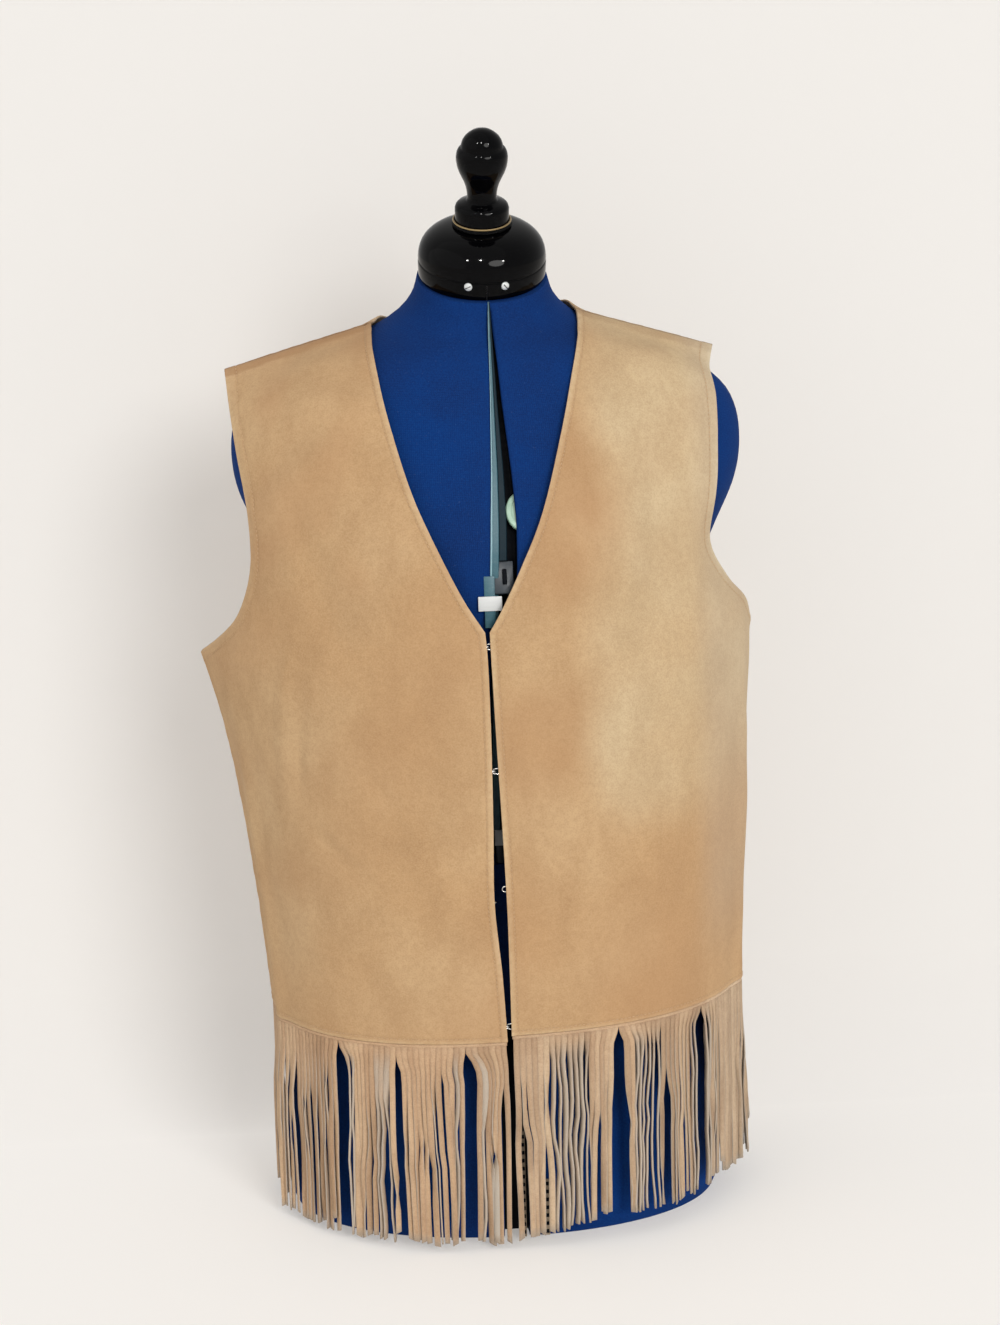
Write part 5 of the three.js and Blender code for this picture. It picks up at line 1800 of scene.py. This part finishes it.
@dataclass
class Closure:
    """A hook on the right front and an eye on the left, bent from round wire, sewn inside their edges."""

    label: str
    radius: float = 0.55
    leg: float = 0.004
    nose: float = 0.0012
    bar: float = 0.0016

    def wire(self, points: list[Tri], node: str) -> None:
        """A wire bent through points, as a smooth round tube that replaces its CAD node.

        Args:
            points: The wire's middle line, in the row frame, in metres.
            node: The CAD node.
        """
        name = "wire_" + node
        curve = bpy.data.curves.new(name, "CURVE")
        curve.dimensions = "3D"
        curve.bevel_depth = self.radius * MM
        curve.bevel_resolution = 4
        curve.use_fill_caps = True
        spline = curve.splines.new("POLY")
        smooth = self.rounded(np.array(points))
        spline.points.add(len(smooth) - 1)
        for point, place in zip(spline.points, smooth):
            point.co = (*place, 1)
        pick(new_object(name, curve))
        bpy.ops.object.convert(target="MESH")
        piece = bpy.context.active_object
        settle(piece, name, STEEL, 60)
        ride(piece)
        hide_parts(node)

    @staticmethod
    def rounded(points: Array) -> Array:
        """A line's points on a smooth curve through them."""
        ends = np.concatenate([[2 * points[0] - points[1]], points, [2 * points[-1] - points[-2]]])
        found = []
        for i in range(1, len(ends) - 2):
            a, b = ends[i], ends[i + 1]
            before, after = (b - ends[i - 1]) / 2, (ends[i + 2] - a) / 2
            found += [hermite(a, b, before, after, np.float64(t)) for t in np.arange(7) / 7]
        return np.array([*found, points[-1]])

    def build(self) -> None:
        """Bends the hook and the eye where their CAD nodes lie."""
        r = self.radius * MM
        low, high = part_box("hook_" + self.label)
        a, tip = low.z + r * 1.1, high.x - r
        front, back = low.y + r, high.y - r
        middle = (front + back) / 2
        hook = [(low.x, front, high.z - r), (low.x + self.leg, front, high.z - r), (tip - self.nose, front, a),
                (tip, middle, a), (tip - self.nose, back, a), (tip - self.leg, back, a)]
        low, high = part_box("eye_" + self.label)
        tip, bend = low.x + r, high.x - self.leg
        shallow, deep = low.y + r, high.y - r
        middle, mid = (shallow + deep) / 2, (low.z + high.z) / 2
        spread = high.z - mid - r
        eye = [(high.x, shallow, mid + spread), (bend, middle, mid + spread), (tip, deep, mid + self.bar),
               (tip, deep, mid - self.bar), (bend, middle, mid - spread), (high.x, shallow, mid - spread)]
        self.wire(hook, "hook_" + self.label)
        self.wire(eye, "eye_" + self.label)


# ---- vest


@dataclass
class Vest:
    """The vest: two fronts and a back of suede, three fringes and four hooks and eyes."""

    def panels(self) -> list[Panel]:
        """The three panels with their folds and creases."""
        right = HalfPanel(FRONT_RIGHT, (
            Fold((0.8, 0.86), 150, 470, 4.5, 13), Fold((0.92, 0.96), 150, 440, -4, 12),
            Fold((0.45, 0.7), 500, 640, -3, 16), Fold((0.3, 0.62), 300, 380, -1.6, 12)))
        left = HalfPanel(FRONT_LEFT, (
            Fold((0.83, 0.8), 150, 520, 5, 10), Fold((0.92, 0.9), 150, 500, -4.5, 10),
            Fold((0.55, 0.78), 520, 690, -3, 18)))
        back_right = HalfPanel(BACK_RIGHT, (
            Fold((0.6, 0.66), 150, 470, 4, 20), Fold((0.84, 0.88), 150, 440, -4, 16)), back=True)
        back_left = HalfPanel(BACK_LEFT, (
            Fold((0.45, 0.52), 150, 460, 4, 20), Fold((0.8, 0.82), 150, 480, -4.5, 15)), back=True)
        return [
            Panel("suede_front_right", (right,), (
                Crease(((-196, 604), (-160, 642), (-122, 672)), 2.2, 9),
                Crease(((-190, 640), (-165, 668), (-140, 690)), -1.6, 8),
                Crease(((-172, 545), (-175, 483), (-178, 422), (-179, 362)), 1.8, 7),
                Crease(((-161, 480), (-165, 425), (-166, 376)), -1.8, 5),
                Crease(((-114, 411), (-88, 382)), -1.5, 5),
                Crease(((-91, 380), (-68, 360)), 1.3, 5),
                Crease(((-124, 352), (-92, 347), (-60, 345)), -1.3, 4),
                Crease(((-106, 411), (-87, 403)), -1.0, 3),
                Crease(((-150, 300), (-120, 260), (-90, 240)), 1.0, 12),
            ), 3),
            Panel("suede_front_left", (left,), (
                Crease(((130, 612), (152, 648), (174, 684)), 1.8, 7),
                Crease(((120, 630), (140, 664), (158, 694)), -1.4, 8),
                Crease(((110, 604), (99, 513), (95, 410)), 1.5, 8),
                Crease(((146, 574), (143, 457), (142, 320)), 1.3, 7),
                Crease(((120, 560), (119, 470), (118, 380)), -1.0, 8),
                Crease(((60, 330), (90, 300), (112, 250)), 1.0, 12),
            ), 5),
            Panel("suede_back", (back_right, back_left), (
                Crease(((-150, 600), (-110, 640), (-70, 660)), 1.6, 9),
                Crease(((140, 596), (100, 636), (66, 655)), 1.6, 9),
                Crease(((-60, 420), (-40, 380), (-10, 360)), -1.4, 7),
                Crease(((30, 440), (52, 400), (84, 380)), -1.4, 7),
                Crease(((-110, 470), (-104, 380), (-98, 290)), 1.5, 9),
                Crease(((100, 480), (98, 390), (96, 300)), 1.5, 9),
                Crease(((-30, 560), (-26, 480), (-24, 420)), 0.9, 10),
            ), 8),
        ]

    def fringes(self) -> list[Fringe]:
        """The three fringes."""
        return [
            Fringe("fringe_of_front_right", "fringe_front_right", 57, ends=((0, 4), (0.16, 6), (0.75, 6), (1, 10)),
                   partings=((0.022, 4, 0.2), (0.122, 11, 0.02), (0.187, 3, 0.1), (0.25, 3, 0.5), (0.33, 6, 0.05),
                             (0.363, 4, 0.6), (0.43, 3, 0.5), (0.53, 10, 0.0), (0.655, 3, 0.25), (0.74, 3, 0.45),
                             (0.86, 3, 0.35)),
                   edge_on=((0.142, 0.158), (0.095, 0.11, 0.3), (0.355, 0.4, 0.2), (0.495, 0.518, 0.02)),
                   flipped=(0.066, 0.05), greys=((0, 0.25), (0.16, 0.2), (0.3, 0.1), (1, 0.15)), seed=11),
            Fringe("fringe_of_front_left", "fringe_front_left", 59,
                   ends=((0, 8), (0.15, 13), (0.2, 18), (0.27, 22), (0.53, 20), (0.66, 28), (0.8, 28), (1, 42)),
                   partings=((0.02, 5, 0.4), (0.083, 3, 0.55), (0.25, 3, 0.45), (0.31, 10, 0.0), (0.4, 3, 0.5),
                             (0.455, 7, 0.3), (0.53, 3, 0.5), (0.59, 9, 0.0), (0.7, 3, 0.4), (0.78, 4, 0.5),
                             (0.9, 4, 0.45)),
                   edge_on=((0.1, 0.225), (0.345, 0.44), (0.565, 0.62)),
                   greys=((0, 0.35), (0.1, 0.45), (0.3, 0.4), (0.6, 0.55), (0.8, 0.85), (1, 0.85)),
                   flare=((0, 0), (0.7, 0), (1, 9)), seed=12),
            Fringe("fringe_of_back", "fringe_back", 116, ends=((0, 11), (0.5, 10), (0.85, 24), (1, 42)),
                   partings=((0.08, 5), (0.19, 8), (0.33, 6, 0.2), (0.46, 9), (0.58, 5, 0.3), (0.71, 9),
                             (0.85, 6, 0.15), (0.94, 4)),
                   edge_on=((0.12, 0.16), (0.4, 0.44), (0.64, 0.7), (0.89, 0.92)),
                   greys=((0, 0.1), (0.8, 0.1), (1, 0.8)), flare=((0, 0), (0.9, 0), (1, 9)), seed=13),
        ]

    def build(self) -> None:
        """Builds and dresses the vest, and logs the area of each panel."""
        panels = self.panels()
        for panel in panels:
            panel.lay_out()
        share_normals(panels)
        for panel, fringe in zip(panels, self.fringes()):
            panel.measure()
            panel.draw_back()
            hem, out = panel.hem_line()
            panel.wall_of()
            panel.stitches()
            hung = fringe.build(hem, out)
            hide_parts(panel.name.replace("suede", "vest"))
            area = panel.area()
            LOG.info("%s: %.4f square metres", panel.name, area)
        for label in ("top", "upper", "lower", "hem"):
            Closure(label).build()


# ---- studio


@dataclass(frozen=True)
class Lamp:
    """A far lamp: the way its light goes, its strength, how wide it looks, and whether only gloss shows it."""

    name: str
    way: Tri
    energy: float
    angle: float
    color: Tri = (1.0, 0.985, 0.96)
    gloss: bool = False

    def hang(self) -> None:
        """Adds the lamp."""
        light = bpy.data.lights.new(self.name, "SUN")
        light.energy, light.angle, light.color = self.energy, math.radians(self.angle), self.color
        lamp = new_object(self.name, light)
        lamp.rotation_euler = Vector(self.way).to_track_quat("-Z", "Y").to_euler()
        lamp.visible_diffuse = not self.gloss


@dataclass(frozen=True)
class Studio:
    """A plain pale floor with paper that rises behind the object, soft lights and the camera."""

    camera: Tri = (-153.5, -2194.6, 960.0)
    yaw: float = 4.0
    pitch: float = 12.6
    roll: float = 1.5
    lens: float = 72.38
    shift: float = 0.00604
    paper: Tri = (242, 237, 231)
    matt: Tri = (0.887, 0.875, 0.859)
    glow: float = 0.36
    backdrop: float = 245.0
    bend: float = 110.0
    sky: float = 0.62
    bounce: float = 0.85
    white: float = 0.965
    lamps: tuple[Lamp, ...] = (
        Lamp("key", (-0.38, 0.95, -0.42), 1.75, 25),
        Lamp("fill", (0.5, 0.75, -0.8), 0.35, 110),
        Lamp("side", (0.95, 0.3, -0.25), 0.36, 80),
        Lamp("glint front", (0.07, 0.76, -0.6), 1.1, 3.4, gloss=True),
        Lamp("glint right", (-0.5, 0.72, -0.48), 0.8, 2.8, gloss=True),
        Lamp("glint left", (0.4, 0.7, -0.58), 0.8, 2.4, gloss=True),
    )

    def shoot(self) -> None:
        """Places the camera."""
        data = bpy.data.cameras.new("camera")
        data.lens, data.sensor_width, data.sensor_fit = self.lens, 36.0, "AUTO"
        data.shift_x = self.shift
        data.clip_end = 60
        camera = new_object("camera", data)
        turn = Matrix.Rotation(-math.radians(self.yaw), 4, "Z") @ Matrix.Rotation(math.radians(90 - self.pitch), 4, "X")
        turn = turn @ Matrix.Rotation(-math.radians(self.roll), 4, "Z")
        camera.matrix_world = Matrix.Translation(PLACE.spot(self.camera)) @ turn
        bpy.context.scene.camera = camera

    def take(self, slope: Array) -> Array:
        """How much of its light paper gives back, at slopes from level to upright, to look the same all over."""
        lit = self.sky * (1 + np.cos(slope)) / 2 + self.bounce * (1 - np.cos(slope)) / 2
        for lamp in self.lamps:
            _, y, z = unit(np.array(lamp.way))
            if not lamp.gloss:
                lit = lit + lamp.energy / math.pi * np.maximum(0, y * np.sin(slope) - z * np.cos(slope))
        return (1 - self.glow) / (self.white * lit)

    def paper_surface(self, name: str, one_sided: bool) -> Material:
        """Matt paper that takes a shadow near the object, and glows as pale as the sky far off, so no edge shows.

        Args:
            name: Its name.
            one_sided: Whether only its front shows, and only to the eye.

        Returns:
            The material, which reads the attribute take.
        """
        made, g, shader, place = new_material(name)
        shown = g.math("MULTIPLY", g.attribute("take"), g.spread(g.noise(place, 3, 3), 0, 1, 1.0, 0.99))
        color = g.add("VectorMath", {0: self.matt, "Scale": shown}, operation="SCALE").outputs[0]
        g.feed(shader, {"Base Color": color, "Roughness": 0.95, "Specular IOR Level": 0.0,
                        "Emission Color": linear(self.paper), "Emission Strength": self.glow})
        away = g.add("VectorMath", {0: place}, operation="LENGTH").outputs["Value"]
        far = g.add("Emission", {"Color": linear(self.paper), "Strength": 1.0})
        both = g.add("MixShader", {0: g.spread(away, 1.7, 3.2), 1: shader.outputs[0], 2: far.outputs[0]})
        if one_sided:
            hidden = g.math("MAXIMUM", g.add("NewGeometry").outputs["Backfacing"],
                            g.math("SUBTRACT", 1.0, g.add("LightPath").outputs["Is Camera Ray"]))
            clear = g.add("BsdfTransparent")
            both = g.add("MixShader", {0: hidden, 1: both.outputs[0], 2: clear.outputs[0]})
        g.feed(g.tree.nodes["Material Output"], {"Surface": both.outputs[0]})
        return made

    def floor(self) -> None:
        """A wide pale floor, and a sheet of paper on it that bends up behind the object and shows from its front."""
        deselect()
        bpy.ops.mesh.primitive_plane_add(size=80, location=(0, 0, -0.0006))
        plane = bpy.context.active_object
        plane.name = "floor"
        plane.data.materials.append(self.paper_surface("Pale floor", False))
        level = [float(self.take(np.zeros(1))[0])] * 4
        plane.data.attributes.new("take", "FLOAT", "POINT").data.foreach_set("value", level)
        turns = np.linspace(0, math.pi / 2, 33)
        arc = [(self.backdrop + self.bend * (math.sin(t) - 1), self.bend * (1 - math.cos(t)), t) for t in turns]
        profile = [(-4500.0, 0.0, 0.0), *arc, (self.backdrop, 5000.0, math.pi / 2)]
        points = np.array([(x, y, z - 0.3) for y, z, _ in profile for x in (-6000.0, 6000.0)])
        faces = [(2 * i, 2 * i + 1, 2 * i + 3, 2 * i + 2) for i in range(len(profile) - 1)]
        take = self.take(np.repeat([p[2] for p in profile], 2))
        paper = mesh_piece("backdrop", points, faces, self.paper_surface("Backdrop paper", True), {"take": take})

    def light(self) -> None:
        """An even sky, a large soft key from the front right, a weak fill and glints for the gloss."""
        world = bpy.data.worlds.new("sky")
        bpy.context.scene.world = world
        world.use_nodes = True
        g = Graph(world.node_tree)
        seen = g.feed(g.tree.nodes["Background"], {"Color": linear(self.paper), "Strength": 1.0})
        lit = g.add("Background", {"Color": (1.0, 0.99, 0.975, 1), "Strength": self.sky})
        ray = g.add("LightPath").outputs["Is Camera Ray"]
        both = g.add("MixShader", {0: ray, 1: lit.outputs[0], 2: seen.outputs[0]})
        g.feed(g.tree.nodes["World Output"], {"Surface": both.outputs[0]})
        for lamp in self.lamps:
            lamp.hang()

    def build(self) -> None:
        """Sets the studio up."""
        self.shoot()
        self.floor()
        self.light()
        bpy.context.scene.view_settings.view_transform = "Standard"


def main() -> None:
    """Builds the form, the vest and the studio in order."""
    logging.basicConfig(level=logging.INFO, format="%(message)s")
    DressForm().build()
    Vest().build()
    Studio().build()


if __name__ == "__main__":
    main()
